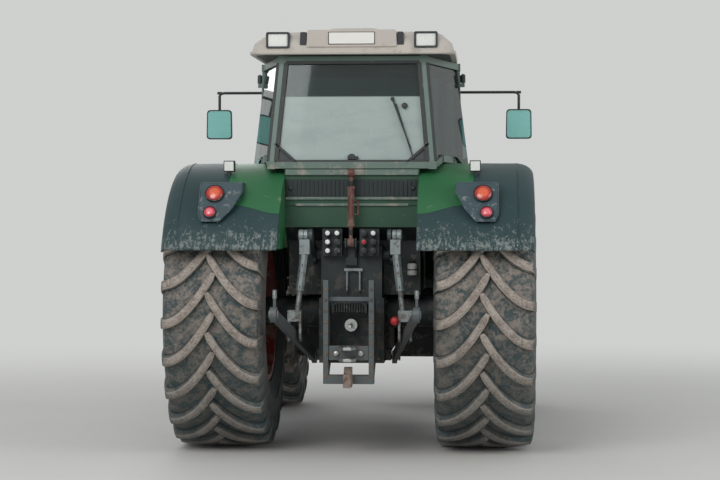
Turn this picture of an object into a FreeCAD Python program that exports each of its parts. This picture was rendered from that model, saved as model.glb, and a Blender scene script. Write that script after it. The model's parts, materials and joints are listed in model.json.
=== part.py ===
"""A four-wheel-drive farm tractor with a six-post cab and a rear three-point linkage.

The frame is +Y forward, +X to the tractor's right and +Z up, in millimetres. The origin is on the
ground, halfway along the tractor's length and on its centre line. Every sub-part is one STEP file.
"""
import FreeCAD, Part
import math
import os

V = FreeCAD.Vector

# Overall layout
wheelbase = 2720.0
front_reach = 900.0
rear_reach = 1150.0
rear_track = 1880.0
front_track = 1880.0
rear_axle_y = (rear_reach - wheelbase - front_reach) / 2
front_axle_y = rear_axle_y + wheelbase

# Fits and gaps
seat_gap = 0.3
pin_gap = 0.5
slide_gap = 0.6
moving_gap = 6.0
panel_gap = 8.0

# Tyres: section widths, tip radii and rim seats of a 710/70R38 and a 600/65R28
rear_tyre_radius = 980.0
rear_tyre_width = 710.0
rear_tread_width = 650.0
rear_lug_height = 55.0
rear_lug_count = 22
rear_bead_radius = 483.0
rear_rim_width = 584.0
front_tyre_radius = 745.0
front_tyre_width = 600.0
front_tread_width = 550.0
front_lug_height = 46.0
front_lug_count = 18
front_bead_radius = 356.0
front_rim_width = 508.0
lug_half_width = 20.0
lug_flank = 12.0
lug_lag = 1.15
rear_axle_z = rear_tyre_radius
front_axle_z = front_tyre_radius
rear_tyre_inner_x = (rear_track - rear_tyre_width) / 2

# Rims and hubs
rim_wall = 12.0
rim_sides = 14
rim_flange_height = 28.0
disc_plate = 18.0
disc_depth = 108.0
hub_depth = 90.0
rear_hub_radius = 150.0
rear_disc_offset = 60.0
axle_shaft_radius = 50.0
front_hub_radius = 115.0
front_disc_offset = 70.0
spindle_radius = 45.0

# Rear fenders and their flares
fender_clearance = 72.0
fender_skin = 25.0
fender_side_gap = 110.0
fender_seam_inset = 80.0
fender_edge_inset = 10.0
fender_lip = 62.0
fender_rear_angle = 27.0
fender_front_angle = 146.0
fender_facets = 14
fender_seam_facets = 2
fender_drop = 130.0
fender_radius = rear_tyre_radius + fender_clearance + fender_skin
fender_inner_x = rear_tyre_inner_x - fender_side_gap
fender_seam_x = rear_track / 2 - fender_seam_inset
fender_outer_x = (rear_track + rear_tyre_width) / 2 - fender_edge_inset
fender_facet_angle = (fender_front_angle - fender_rear_angle) / fender_facets
fender_seam_angle = fender_rear_angle + fender_facet_angle * fender_seam_facets
fender_end_z = rear_axle_z + fender_radius * math.sin(math.radians(fender_front_angle))
fender_floor_z = fender_end_z - fender_drop

# Tail lamps: a shield leaning back between two places given by angle and height over the fender
shield_low_angle = 36.9
shield_low_lift = 30.0
shield_high_angle = 52.4
shield_high_lift = 103.0
lens_depth = 26.0

# Cab plan and heights
cab_entry = 443.0
cab_post_reach = 560.0
cab_back_reach = 430.0
cab_floor_lift = 190.0
cab_height = 1620.0
cab_floor_thickness = 60.0
post_width = 55.0
rail_width = 46.0
front_post_x = 600.0
front_post_top_x = 580.0
front_post_lean = 160.0
middle_post_x = 750.0
back_post_x = 570.0
back_post_top_x = 503.0
back_post_lean = 105.0
belt_lift = 70.0
glass_thickness = 8.0
cowl_lift = 410.0
panel_thickness = 26.0
tub_wall = 25.0
tub_back_reach = 145.0
tub_front_gap = 10.0
rear_wall_lift = 620.0
rear_ledge_drop = 47.0
cab_front_y = rear_axle_y + fender_radius + cab_entry
cab_post_y = rear_axle_y + cab_post_reach
cab_back_y = rear_axle_y - cab_back_reach
cab_floor_z = rear_axle_z + cab_floor_lift
cab_base_z = cab_floor_z - cab_floor_thickness
cab_top_z = cab_floor_z + cab_height
cowl_z = cab_floor_z + cowl_lift
middle_post_z = rear_axle_z + panel_gap + math.sqrt(fender_radius ** 2 - (cab_post_reach - post_width / 2) ** 2)
cab_belt_z = rear_axle_z + belt_lift + math.sqrt(fender_radius ** 2 - cab_back_reach ** 2)
tub_back_y = rear_axle_y - tub_back_reach
tub_front_y = rear_axle_y + rear_tyre_radius + tub_front_gap
rear_wall_z = rear_axle_z + rear_wall_lift

# Doors
door_thickness = 42.0
door_rail = 58.0
door_back_lift = 52.0
door_knee_reach = 118.0
door_knee_lift = 98.0
door_sill_reach = 70.0
door_front_lift = 230.0
door_handle_lift = 390.0
door_hinge_radius = 11.0
door_barrel_radius = 18.0
door_barrel_length = 60.0
door_hinge_shares = (0.08, 0.86)
door_back_z = middle_post_z + door_back_lift
door_knee_y = rear_axle_y + fender_radius + door_knee_reach
door_knee_z = fender_end_z + door_knee_lift
door_sill_y = door_knee_y + door_sill_reach
door_front_z = cab_floor_z + door_front_lift
door_hinge_out = post_width / 2 + door_barrel_radius + moving_gap

# Roof
roof_half_width = 732.0
roof_top_half_width = 600.0
roof_taper = 75.0
roof_corner = 110.0
roof_lip = 26.0
roof_height = 167.2
roof_crown_height = 32.0
roof_crown_half_width = 160.0
roof_back_overhang = 130.0
roof_front_overhang = 190.0
roof_lamp_x = 523.0
roof_front_lamp_x = 433.0
roof_lamp_width = 166.0
roof_lamp_height = 96.0
roof_lamp_depth = 146.0
roof_bottom_z = cab_top_z + post_width / 2 + seat_gap
roof_top_z = roof_bottom_z + roof_height
roof_crown_z = roof_top_z + roof_crown_height
roof_back_y = cab_back_y + back_post_lean - roof_back_overhang
roof_front_y = cab_front_y - front_post_lean + roof_front_overhang

# Seat and controls
seat_reach = 330.0
seat_lift = 500.0
seat_width = 480.0
seat_cushion = 110.0
seat_back_height = 560.0
dash_reach = 330.0
dash_half_width = 190.0
wheel_rim_radius = 195.0
wheel_tube_radius = 15.0
wheel_sides = 16
wheel_reach = 615.0
wheel_lift = 630.0
wheel_tilt = 30.0
column_radius = 38.0
column_shaft_radius = 12.0
seat_y = rear_axle_y + seat_reach
seat_z = cab_floor_z + seat_lift
dash_y = cab_front_y - dash_reach
wheel_y = cab_front_y - wheel_reach
wheel_z = cab_floor_z + wheel_lift

# Hood
hood_gap = 45.0
hood_back_half_width = 345.0
hood_front_half_width = 278.0
hood_back_lift = 630.0
hood_front_lift = 865.0
hood_bottom_lift = 470.0
hood_nose_reach = 690.0
hood_nose_length = 260.0
hood_nose_drop = 60.0
hood_skin = 20.0
hood_corner = 130.0
hood_hinge_inset = 45.0
hood_hinge_drop = 62.0
hood_hinge_x = 232.0
hood_hinge_radius = 10.0
hood_bracket_half = 18.0
grille_half_width = 185.0
grille_bar_count = 6
hood_back_y = cab_front_y + hood_gap
hood_nose_y = front_axle_y + hood_nose_reach
hood_back_z = cab_floor_z + hood_back_lift
hood_front_z = front_axle_z + hood_front_lift
hood_bottom_z = front_axle_z + hood_bottom_lift
hood_hinge_y = hood_back_y + hood_hinge_inset
hood_hinge_z = hood_back_z - hood_hinge_drop
grille_bottom_z = hood_bottom_z + 60.0
grille_top_z = hood_front_z - 130.0

# Driveline and front frame
transmission_half_width = 230.0
transmission_tail = 450.0
transmission_drop = 105.0
transmission_nose = 50.0
transmission_gap = 10.0
cab_mount_size = 90.0
lift_cover_half_width = 215.0
lift_cover_lift = 300.0
lift_cover_gap = 20.0
trumpet_root_radius = 122.0
trumpet_end_radius = 105.0
engine_half_width = 225.0
engine_lift = 55.0
engine_headroom = 300.0
engine_front_gap = 50.0
frame_half_width = 190.0
frame_plate = 40.0
frame_lift = 125.0
frame_height = 240.0
frame_nose = 25.0
drive_shaft_radius = 28.0
transmission_back_y = rear_axle_y - transmission_tail
transmission_front_y = cab_front_y + transmission_nose
transmission_bottom_z = front_axle_z - transmission_drop
transmission_top_z = cab_base_z - transmission_gap
lift_cover_z = cab_floor_z + lift_cover_lift
trumpet_end_x = rear_track / 2 - rear_disc_offset - disc_plate - hub_depth

# Front axle and steering
kingpin_inset = 235.0
kingpin_radius = 38.0
kingpin_boss_radius = 55.0
axle_beam_height = 150.0
axle_beam_depth = 130.0
axle_boss_height = 220.0
axle_pivot_radius = 55.0
axle_pivot_length = 240.0
knuckle_plate = 30.0
knuckle_half_depth = 58.0
knuckle_web = 22.0
knuckle_web_gap = 12.0
steering_arm = 235.0
steering_arm_half_width = 28.0
tie_rod_radius = 15.0
tie_eye_radius = 29.0
tie_eye_height = 36.0
tie_stud_radius = 12.0
kingpin_x = front_track / 2 - kingpin_inset
knuckle_web_x = kingpin_x + kingpin_boss_radius + knuckle_web_gap
engine_back_y = transmission_front_y + seat_gap
engine_front_y = front_axle_y - axle_pivot_length / 2 - engine_front_gap
engine_bottom_z = front_axle_z + engine_lift
engine_top_z = hood_back_z - engine_headroom
frame_front_y = front_axle_y + hood_nose_reach + frame_nose
frame_bottom_z = front_axle_z + frame_lift
frame_top_z = frame_bottom_z + frame_height

# Weights, tanks, steps, exhaust and mirrors
weight_half_span = 262.0
weight_count = 8
weight_width = 58.0
tank_front_gap = 180.0
tank_back_gap = 105.0
tank_outer_x = 580.0
tank_drop = 80.0
tool_box_gap = 200.0
step_gap = 180.0
step_depth = 250.0
step_width = 260.0
step_plate = 12.0
step_count = 3
step_rise = 230.0
step_first_z = 450.0
exhaust_x = 480.0
exhaust_reach = 75.0
exhaust_radius = 42.0
muffler_radius = 72.0
muffler_length = 640.0
tail_radius = 38.0
tail_wall = 5.0
mirror_x = 1207.0
mirror_drop = 135.0
mirror_arm_radius = 11.0
mirror_half_width = 105.0
mirror_height = 240.0
tank_front_y = front_axle_y - front_tyre_radius - tank_front_gap
tank_back_y = rear_axle_y + rear_tyre_radius + tank_back_gap
tank_bottom_z = transmission_bottom_z - tank_drop
step_y = tank_back_y + step_gap

# Rear linkage
link_pin_reach = 150.0
link_pin_lift = 20.0
link_pin_x = 290.0
link_pin_radius = 18.0
link_plate = 34.0
link_depth = 75.0
link_eye_radius = 48.0
hook_radius = 55.0
hook_socket = 32.5
hook_mouth = 46.0
hook_width = 44.0
hook_side_gap = 103.0
hook_lift = 40.0
lift_share = 0.5
rockshaft_reach = 265.0
rockshaft_drop = 70.0
rockshaft_radius = 45.0
lift_arm_x = 276.0
lift_arm_plate = 28.0
lift_arm_depth = 88.0
lift_arm_reach = 330.0
lift_arm_rise = 146.0
lift_pin_radius = 18.0
lift_eye_x = 309.0
lift_eye_width = 26.0
lift_eye_radius = 40.0
lift_rod_radius = 19.0
lift_fork_gap = 15.0
lift_fork_plate = 16.0
top_link_reach = 525.0
top_link_lift = 22.0
top_link_length = 490.0
top_link_lean = 30.0
top_link_radius = 14.0
top_link_pin_radius = 12.7
top_link_eye = 31.0
top_link_eye_width = 44.0
bracket_plate = 14.0
link_pin_y = rear_axle_y - link_pin_reach
link_pin_z = transmission_bottom_z + link_pin_lift
hook_x = rear_tyre_inner_x - hook_side_gap
hook_y = rear_axle_y - rear_reach + hook_radius
hook_z = rear_axle_z + hook_lift
rockshaft_y = rear_axle_y - rockshaft_reach
rockshaft_z = lift_cover_z - rockshaft_drop
lift_arm_end_y = rockshaft_y - lift_arm_reach
lift_arm_end_z = rockshaft_z + lift_arm_rise
top_link_y = rear_axle_y - top_link_reach
top_link_z = lift_cover_z + top_link_lift

# Hitch ladder, coupling, power take-off and hydraulic couplers
ladder_x = 158.0
ladder_rail = 36.0
ladder_depth = 80.0
ladder_back_reach = 760.0
ladder_top_lift = 259.0
ladder_drop = 120.0
coupling_lift = 44.0
coupling_height = 99.0
coupling_plate = 20.0
coupling_reach = 145.0
coupling_half_width = 60.0
coupling_pin_radius = 19.0
coupling_pin_inset = 50.0
pto_drop = 68.0
pto_radius = 17.5
pto_bearing_radius = 25.0
pto_boss_radius = 48.0
pto_guard_half_width = 120.0
coupler_inner_x = 62.0
coupler_outer_x = 200.0
coupler_block = 75.0
coupler_drop = 70.0
coupler_height = 190.0
coupler_columns = (94.0, 160.0)
coupler_rows = 3
coupler_pitch = 62.0
coupler_radius = 19.0
ladder_back_y = rear_axle_y - ladder_back_reach
ladder_front_y = ladder_back_y + ladder_depth
ladder_top_z = rear_axle_z + ladder_top_lift
ladder_bottom_z = transmission_bottom_z - ladder_drop
ladder_inner_x = ladder_x - ladder_rail / 2
ladder_outer_x = ladder_x + ladder_rail / 2
coupling_bottom_z = transmission_bottom_z + coupling_lift
coupling_top_z = coupling_bottom_z + coupling_height
pto_z = rear_axle_z - pto_drop
pto_end_y = ladder_front_y + 15.0


def box(x0, x1, y0, y1, z0, z1):
    """A block between two corners."""
    return Part.makeBox(x1 - x0, y1 - y0, z1 - z0, V(x0, y0, z0))


def rod(radius, start, end):
    """A round bar from one point to another."""
    along = end.sub(start)
    return Part.makeCylinder(radius, along.Length, start, along)


def cross_rod(radius, x0, x1, y, z):
    """A round bar along X."""
    return rod(radius, V(x0, y, z), V(x1, y, z))


def slab(corners, push):
    """A flat polygon pushed along a vector."""
    return Part.Face(Part.makePolygon(corners + corners[:1])).extrude(push)


def side_slab(outline, x0, x1):
    """A side-view outline of (y, z) points, as thick as x0 to x1."""
    return slab([V(x0, y, z) for y, z in outline], V(x1 - x0, 0, 0))


def back_slab(outline, y0, y1):
    """A rear-view outline of (x, z) points, as thick as y0 to y1."""
    return slab([V(x, y0, z) for x, z in outline], V(0, y1 - y0, 0))


def plan_slab(outline, z0, z1):
    """A plan outline of (x, y) points, as thick as z0 to z1."""
    return slab([V(x, y, z0) for x, y in outline], V(0, 0, z1 - z0))


def bar(start, end, width, depth, across=V(1, 0, 0)):
    """A rectangular bar along a line, its width measured along across."""
    along = end.sub(start)
    unit = V(along).normalize()
    wide = across.sub(unit * across.dot(unit))
    wide.normalize()
    deep = unit.cross(wide)
    corners = []
    for a, b in ((-1, -1), (1, -1), (1, 1), (-1, 1)):
        corners.append(start + wide * (a * width / 2) + deep * (b * depth / 2))
    return slab(corners, along)


def stem(radius, start, end, sides=12):
    """A many-sided bar from one point to another, for rods that turn in no bore."""
    along = end.sub(start)
    unit = V(along).normalize()
    across = V(1, 0, 0) if abs(unit.x) < 0.9 else V(0, 1, 0)
    wide = across.sub(unit * across.dot(unit))
    wide.normalize()
    deep = unit.cross(wide)
    corners = []
    for k in range(sides):
        angle = 2 * math.pi * (k + 0.5) / sides
        corners.append(start + wide * (radius * math.cos(angle)) + deep * (radius * math.sin(angle)))
    return slab(corners, along)


def hole(radius, start, end, sides=12):
    """A many-sided bar whose flats clear a radius, for cutting holes that no joint or mate turns in."""
    return stem(radius / math.cos(math.pi / sides), start, end, sides)


def cross_stem(radius, x0, x1, y, z, sides=12):
    """A many-sided bar along X."""
    return stem(radius, V(x0, y, z), V(x1, y, z), sides)


def joined(shapes):
    """One solid from overlapping shapes."""
    return shapes[0].multiFuse(shapes[1:]).removeSplitter()


def mirrored(shape):
    """The same shape on the other side of the tractor."""
    return shape.mirror(V(0, 0, 0), V(1, 0, 0))


def both_sides(shape):
    """A shape and its mirror image, as two solids."""
    return Part.makeCompound([shape, mirrored(shape)])


def flat(a, b, c, d):
    """Whether four different points lie in one plane."""
    sides = [b.sub(a).Length, c.sub(b).Length, d.sub(c).Length, a.sub(d).Length]
    if min(sides) < 1e-6:
        return False
    return abs(b.sub(a).cross(c.sub(a)).dot(d.sub(a))) < 1e-6 * max(sides) ** 3


def skinned(rows, closed=False):
    """A solid of flat faces over rows of points, the last row joined to the first if closed."""
    faces = []

    def add(*points):
        following = points[1:] + points[:1]
        if all(q.sub(p).Length > 1e-6 for p, q in zip(points, following)):
            faces.append(Part.Face(Part.makePolygon(list(points) + [points[0]])))

    last = rows[:1] if closed else []
    for near, far in zip(rows, rows[1:] + last):
        for i in range(len(near)):
            j = (i + 1) % len(near)
            if flat(near[i], near[j], far[j], far[i]):
                add(near[i], near[j], far[j], far[i])
            else:
                add(near[i], near[j], far[j])
                add(near[i], far[j], far[i])
    if not closed:
        add(*rows[0])
        add(*rows[-1])
    solid = Part.makeSolid(Part.makeShell(faces))
    if solid.Volume < 0:
        solid.reverse()
    return solid


def turned(profile, y, z, sides, start_deg=0.0, sweep_deg=360.0):
    """A closed (x, radius) outline turned in flat facets about the line along X through (y, z).

    Angles start at the rear horizontal and rise over the top towards the front."""
    whole = sweep_deg == 360.0
    rows = []
    for k in range(sides if whole else sides + 1):
        angle = math.radians(start_deg + sweep_deg * k / sides)
        rows.append([V(x, y - r * math.cos(angle), z + r * math.sin(angle)) for x, r in profile])
    return skinned(rows, whole)


def over_fender(profile, first_facet=0, last_facet=fender_facets, gap_deg=0.0):
    """A (x, radius) outline swept round the rear wheel over some of the fender's facets."""
    start = fender_rear_angle + fender_facet_angle * first_facet
    sweep = fender_facet_angle * (last_facet - first_facet) - gap_deg
    return turned(profile, rear_axle_y, rear_axle_z, last_facet - first_facet, start, sweep)


def on_wheel(radius, degrees):
    """The (y, z) place at a radius and an angle of the rear wheel's side view."""
    angle = math.radians(degrees)
    return rear_axle_y - radius * math.cos(angle), rear_axle_z + radius * math.sin(angle)


def export(name, shape):
    """Writes one sub-part."""
    os.makedirs("parts", exist_ok=True)
    shape.exportStep("parts/" + name + ".step")


def export_pair(name, shape):
    """Writes a right-hand sub-part and its mirror image on the left."""
    export(name + "_right", shape)
    export(name + "_left", mirrored(shape))


def lug(axle, stations, side, lead, radius, lag):
    """One tread bar, bent round the tyre from its middle down to its shoulder.

    Columns of stations: offset from the tyre's middle, share of the lag behind the leading end,
    drop of the tip below the tyre's radius, half width of the tip, and radius of the root."""
    rows = []
    for offset, behind, drop, half, root in stations:
        x = axle.x + side * offset
        turn = lead - behind * lag
        tip = radius - drop
        corners = []
        for r, shift in ((root, -half - lug_flank), (tip, -half), (tip, half), (root, half + lug_flank)):
            angle = turn + shift / radius
            corners.append(V(x, axle.y + r * math.sin(angle), axle.z + r * math.cos(angle)))
        rows.append(corners)
    return skinned(rows)


def tyre(axle, radius, width, tread, lug_height, lug_count, bead, rim_width):
    """A drive tyre: a carcass with one facet to a pitch and staggered bars fused to its tread."""
    half = width / 2
    half_tread = tread / 2
    half_rim = rim_width / 2
    carcass = radius - lug_height
    edge = half_tread * 0.88
    waist = bead + 0.56 * (radius - bead)
    shoulder = carcass - (carcass - waist) * (half_tread - edge) / (half - edge)
    outline = [(-half_rim, bead), (-half_rim, bead + rim_flange_height + 4), (-half, waist), (-edge, carcass),
               (edge, carcass), (half, waist), (half_rim, bead + rim_flange_height + 4), (half_rim, bead)]
    body = turned([(axle.x + x, r) for x, r in outline], axle.y, axle.z, lug_count)
    pitch = 2 * math.pi / lug_count
    sink = carcass * (1 - math.cos(pitch / 2)) + 8
    w = lug_half_width
    stations = ((-0.05 * half_tread, 0.0, 0.0, w, carcass - sink),
                (half_tread, 1.0, 0.4 * lug_height, 1.2 * w, shoulder - sink))
    lugs = []
    for side, stagger in ((-1, 0.0), (1, 0.5)):
        for k in range(lug_count):
            lugs.append(lug(axle, stations, side, (k + stagger) * pitch, radius, lug_lag * pitch))
    return body.multiFuse(lugs)


def rim(axle, bead, rim_width, hub_radius, disc_offset, tyre_sides):
    """A one-piece rim: barrel, two flanges and a dished disc, its dish open outwards at +X."""
    half = rim_width / 2 + seat_gap
    apothem = math.cos(math.pi / tyre_sides)
    rim_seat = bead * apothem - seat_gap
    inner = rim_seat - rim_wall
    flange = (bead + rim_flange_height) * apothem
    disc = -disc_offset
    ring = hub_radius * 1.9
    outline = [(-half - rim_wall, inner), (-half - rim_wall, flange), (-half, flange), (-half, rim_seat),
               (half, rim_seat), (half, flange), (half + rim_wall, flange), (disc + disc_depth, inner),
               (disc, ring), (disc, 0.0), (disc - disc_plate, 0.0),
               (disc - disc_plate, ring + 10), (disc + disc_depth - 1.5 * disc_plate, inner)]
    return turned([(axle.x + x, r) for x, r in outline], axle.y, axle.z, rim_sides)


def rear_hub():
    """The rear axle's flange, with its shaft inside the trumpet."""
    disc_x = rear_track / 2 - rear_disc_offset - disc_plate
    y, z = rear_axle_y, rear_axle_z
    flange = cross_stem(rear_hub_radius, trumpet_end_x + moving_gap, disc_x - seat_gap, y, z, 16)
    shaft = cross_rod(axle_shaft_radius, trumpet_end_x - 150, disc_x - disc_plate, y, z)
    return joined([flange, shaft])


def front_hub():
    """The front wheel's hub, running on the knuckle's spindle."""
    disc_x = front_track / 2 - front_disc_offset - disc_plate
    inner_x = knuckle_web_x + knuckle_web + moving_gap
    y, z = front_axle_y, front_axle_z
    shell = cross_stem(front_hub_radius, inner_x, disc_x - seat_gap, y, z)
    return shell.cut(cross_rod(spindle_radius + pin_gap, inner_x - 5, disc_x + 5, y, z))


def wheels():
    """Tyres, rims and hubs, right side first and mirrored to the left."""
    rear = V(rear_track / 2, rear_axle_y, rear_axle_z)
    front = V(front_track / 2, front_axle_y, front_axle_z)
    export_pair("rear_tyre", tyre(rear, rear_tyre_radius, rear_tyre_width, rear_tread_width, rear_lug_height,
                                  rear_lug_count, rear_bead_radius, rear_rim_width))
    export_pair("front_tyre", tyre(front, front_tyre_radius, front_tyre_width, front_tread_width,
                                   front_lug_height, front_lug_count, front_bead_radius, front_rim_width))
    rear_rim = rim(rear, rear_bead_radius, rear_rim_width, rear_hub_radius, rear_disc_offset, rear_lug_count)
    front_rim = rim(front, front_bead_radius, front_rim_width, front_hub_radius, front_disc_offset,
                    front_lug_count)
    export_pair("rear_rim", Part.makeCompound([rear_rim, rear_hub()]))
    export_pair("front_rim", Part.makeCompound([front_rim, front_hub()]))


def fender():
    """The right steel fender: an arch over the tyre and the wall that stands against the cab."""
    inner = fender_radius - fender_skin
    y, z = rear_axle_y, rear_axle_z
    arch = over_fender([(fender_inner_x, inner), (fender_inner_x, fender_radius), (fender_seam_x, fender_radius),
                        (fender_seam_x, inner)], fender_seam_facets)
    outline = [on_wheel(inner - 1, fender_seam_angle)]
    for k in range(fender_seam_facets + 1, fender_facets + 1):
        outline.append(on_wheel(inner + 3, fender_rear_angle + fender_facet_angle * k))
    outline += [(outline[-1][0] - 40, fender_floor_z), (outline[0][0] + 30, fender_floor_z)]
    return joined([arch, side_slab(outline, fender_inner_x, fender_inner_x + fender_skin)])


def flare():
    """The right plastic flare outside the fender, with the part that runs round below it."""
    inner = fender_radius - fender_skin
    edge = fender_outer_x
    inside = fender_seam_x + seat_gap
    lip = fender_lip
    arch = over_fender([(inside, inner), (inside, fender_radius), (edge - lip, fender_radius),
                        (edge - 0.3 * lip, fender_radius - 0.3 * lip), (edge, fender_radius - lip),
                        (edge - fender_skin, fender_radius - lip), (edge - lip, inner)])
    low = over_fender([(fender_inner_x, inner), (fender_inner_x, fender_radius), (inside + 20, fender_radius),
                       (inside + 20, inner)], 0, fender_seam_facets, math.degrees(seat_gap / fender_radius))
    return joined([arch, low, lamp_shield()])


def shield_y(height):
    """Where the lamp shield's face is at a height."""
    low_y, low_z = on_wheel(fender_radius + shield_low_lift, shield_low_angle)
    high_y, high_z = on_wheel(fender_radius + shield_high_lift, shield_high_angle)
    return low_y + (high_y - low_y) * (height - low_z) / (high_z - low_z)


def shield_height(share):
    """A height between the lamp shield's foot and head."""
    low_z = on_wheel(fender_radius + shield_low_lift, shield_low_angle)[1]
    high_z = on_wheel(fender_radius + shield_high_lift, shield_high_angle)[1]
    return low_z + (high_z - low_z) * share


def lamp_shield():
    """The housing that stands on the right flare and carries its tail lamps.

    Columns: offset from the middle of the tyre, share of the shield's height."""
    outline = ((95, 1.0), (-198, 1.0), (-205, 0.76), (-140, 0.315), (-60, 0.0), (70, 0.0), (95, 0.2))
    corners = []
    for offset, share in outline:
        height = shield_height(share)
        corners.append(V(rear_track / 2 + offset, shield_y(height), height))
    inside = fender_seam_x + seat_gap
    clear = fender_radius + seat_gap
    sunk = fender_radius - fender_skin / 2
    hollow = over_fender([(inside - 300, 500), (inside - 300, clear), (inside, clear), (inside, sunk),
                          (inside + 400, sunk), (inside + 400, 500)])
    solids = slab(corners, V(0, 300, 0)).cut(hollow).Solids
    return max(solids, key=lambda solid: solid.Volume)


def lamps():
    """Tail lamp lenses on the shields and the marker lamps that stand on the flares."""
    low, high = shield_height(0.0), shield_height(1.0)
    outward = V(0, low - high, shield_y(high) - shield_y(low)).normalize()
    lenses = []
    for offset, share, radius in ((-13, 0.7, 67), (11, 0.22, 47)):
        height = shield_height(share)
        centre = V(rear_track / 2 + offset, shield_y(height), height)
        lens = stem(radius, centre + outward * seat_gap, centre + outward * lens_depth, 14)
        lenses += [lens, mirrored(lens)]
    export("tail_lamps", Part.makeCompound(lenses))
    y = rear_axle_y - 0.39 * fender_radius
    z = rear_axle_z + 0.92 * fender_radius
    inside = fender_seam_x + seat_gap
    clear = fender_radius + seat_gap
    hollow = over_fender([(inside - 50, 500), (inside - 50, clear), (inside + 100, clear), (inside + 100, 500)])
    stalk = box(inside + 3, inside + 25, y - 15, y + 15, z - 40, z + 40).cut(hollow)
    head = box(inside - 28, inside + 50, y - 30, y + 30, z + 20, z + 100)
    marker = joined([head, stalk])
    return [marker, mirrored(marker)]


def door_normal():
    """The outward direction of the right side plane."""
    foot, head, post = side_plane()
    normal = head.sub(foot).cross(post.sub(foot))
    normal.normalize()
    return normal if normal.x > 0 else normal * -1


def side_plane():
    """Three points of the plane that holds the right door."""
    return (V(front_post_x, cab_front_y, cab_floor_z), V(front_post_top_x, cab_front_y - front_post_lean, cab_top_z),
            V(middle_post_x, cab_post_y, middle_post_z))


def door_plane_x(y, z):
    """How far out the cab's side plane lies at a height and a place along the cab."""
    foot = side_plane()[0]
    normal = door_normal()
    return foot.x - (normal.y * (y - foot.y) + normal.z * (z - foot.z)) / normal.x


def on_side(y, z):
    """The point of the right side plane at a height and a place along the cab."""
    return V(door_plane_x(y, z), y, z)


def front_post_y(z):
    """Where the front post's centre line is at a height."""
    return cab_front_y - front_post_lean * (z - cab_floor_z) / cab_height


def inset(points, distance):
    """A flat polygon with each edge moved inwards by the same distance, and its normal."""
    middle = V(0, 0, 0)
    for point in points:
        middle = middle + point * (1.0 / len(points))
    normal = V(0, 0, 0)
    for a, b in zip(points, points[1:] + points[:1]):
        normal = normal + a.sub(middle).cross(b.sub(middle))
    normal.normalize()
    moved = []
    for before, here, after in zip(points[-1:] + points[:-1], points, points[1:] + points[:1]):
        into_back = normal.cross(here.sub(before).normalize())
        into_ahead = normal.cross(after.sub(here).normalize())
        bisector = into_back + into_ahead
        moved.append(here + bisector * (2 * distance / bisector.Length ** 2))
    return moved, normal


def pane(points, margin, thickness=glass_thickness):
    """A flat glass a margin inside its frame's centre lines."""
    corners, normal = inset(points, margin)
    start = [corner.sub(normal * (thickness / 2)) for corner in corners]
    return slab(start, normal * thickness)


def posts(side):
    """Foot and head of the front, middle and back posts on one side."""
    head_x = door_plane_x(cab_post_y, cab_top_z)
    return {
        "front": (V(side * front_post_x, cab_front_y, cab_floor_z),
                  V(side * front_post_top_x, cab_front_y - front_post_lean, cab_top_z)),
        "middle": (V(side * middle_post_x, cab_post_y, middle_post_z), V(side * head_x, cab_post_y, cab_top_z)),
        "back": (V(side * back_post_x, cab_back_y, cab_belt_z),
                 V(side * back_post_top_x, cab_back_y + back_post_lean, cab_top_z)),
    }


def belt(side):
    """The side rail that runs over the fender from the back post to the middle post."""
    post = posts(side)
    crown = rear_axle_z + fender_radius + post_width / 2 + panel_gap
    span = middle_post_x - back_post_x
    return [post["back"][0], V(side * (back_post_x + 0.28 * span), rear_axle_y - 165, crown - 4),
            V(side * (back_post_x + 0.67 * span), rear_axle_y + 235, crown - 8),
            post["middle"][0] + V(0, 0, 45)]


def knot(point, size=post_width):
    """A block that closes the corner where rails meet."""
    half = size / 2
    return box(point.x - half, point.x + half, point.y - half, point.y + half, point.z - half, point.z + half)


def cab_frame():
    """Six posts with their roof rails, belt rails, cowl rail and door hinge pins."""
    parts = []
    for side in (-1, 1):
        post = posts(side)
        for foot, head in post.values():
            parts += [bar(foot, head, rail_width, rail_width), knot(head)]
        rails = [post["front"][1], post["middle"][1], post["back"][1]]
        for start, end in list(zip(rails, rails[1:])) + list(zip(belt(side), belt(side)[1:])):
            parts.append(bar(start, end, rail_width, rail_width))
        parts += [knot(point) for point in belt(side)]
    left, right = posts(-1), posts(1)
    ends = [(left[name][1], right[name][1]) for name in ("front", "middle", "back")]
    ends += [(left["back"][0], right["back"][0])]
    cowl = on_side(front_post_y(cowl_z), cowl_z)
    ends += [(V(-cowl.x, cowl.y, cowl.z), cowl)]
    for start, end in ends:
        parts.append(bar(start, end, rail_width, rail_width, V(0, 1, 0)))
    pins = door_pins()
    return joined(parts + pins + [mirrored(pin) for pin in pins])


def cab_glass(frame):
    """Fixed panes: windshield, rear window and quarter windows."""
    margin = rail_width / 2 + seat_gap
    left, right = posts(-1), posts(1)
    cowl = on_side(front_post_y(cowl_z), cowl_z)
    shield = [V(-cowl.x, cowl.y, cowl.z), cowl, right["front"][1], left["front"][1]]
    window = [left["back"][0], right["back"][0], right["back"][1], left["back"][1]]
    rail = belt(1)
    low, high, far = rail[0], right["middle"][1], right["back"][1]
    normal = high.sub(low).cross(far.sub(low))
    corners = [V(c.x - normal.dot(c.sub(low)) / normal.x, c.y, c.z) for c in rail + [high, far]]
    quarter = pane(corners, margin)
    panes = []
    for glass in (pane(shield, margin), pane(window, margin), quarter, mirrored(quarter)):
        panes.append(max(glass.cut(frame).Solids, key=lambda solid: solid.Volume))
    export("windows", Part.makeCompound(panes))


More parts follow.
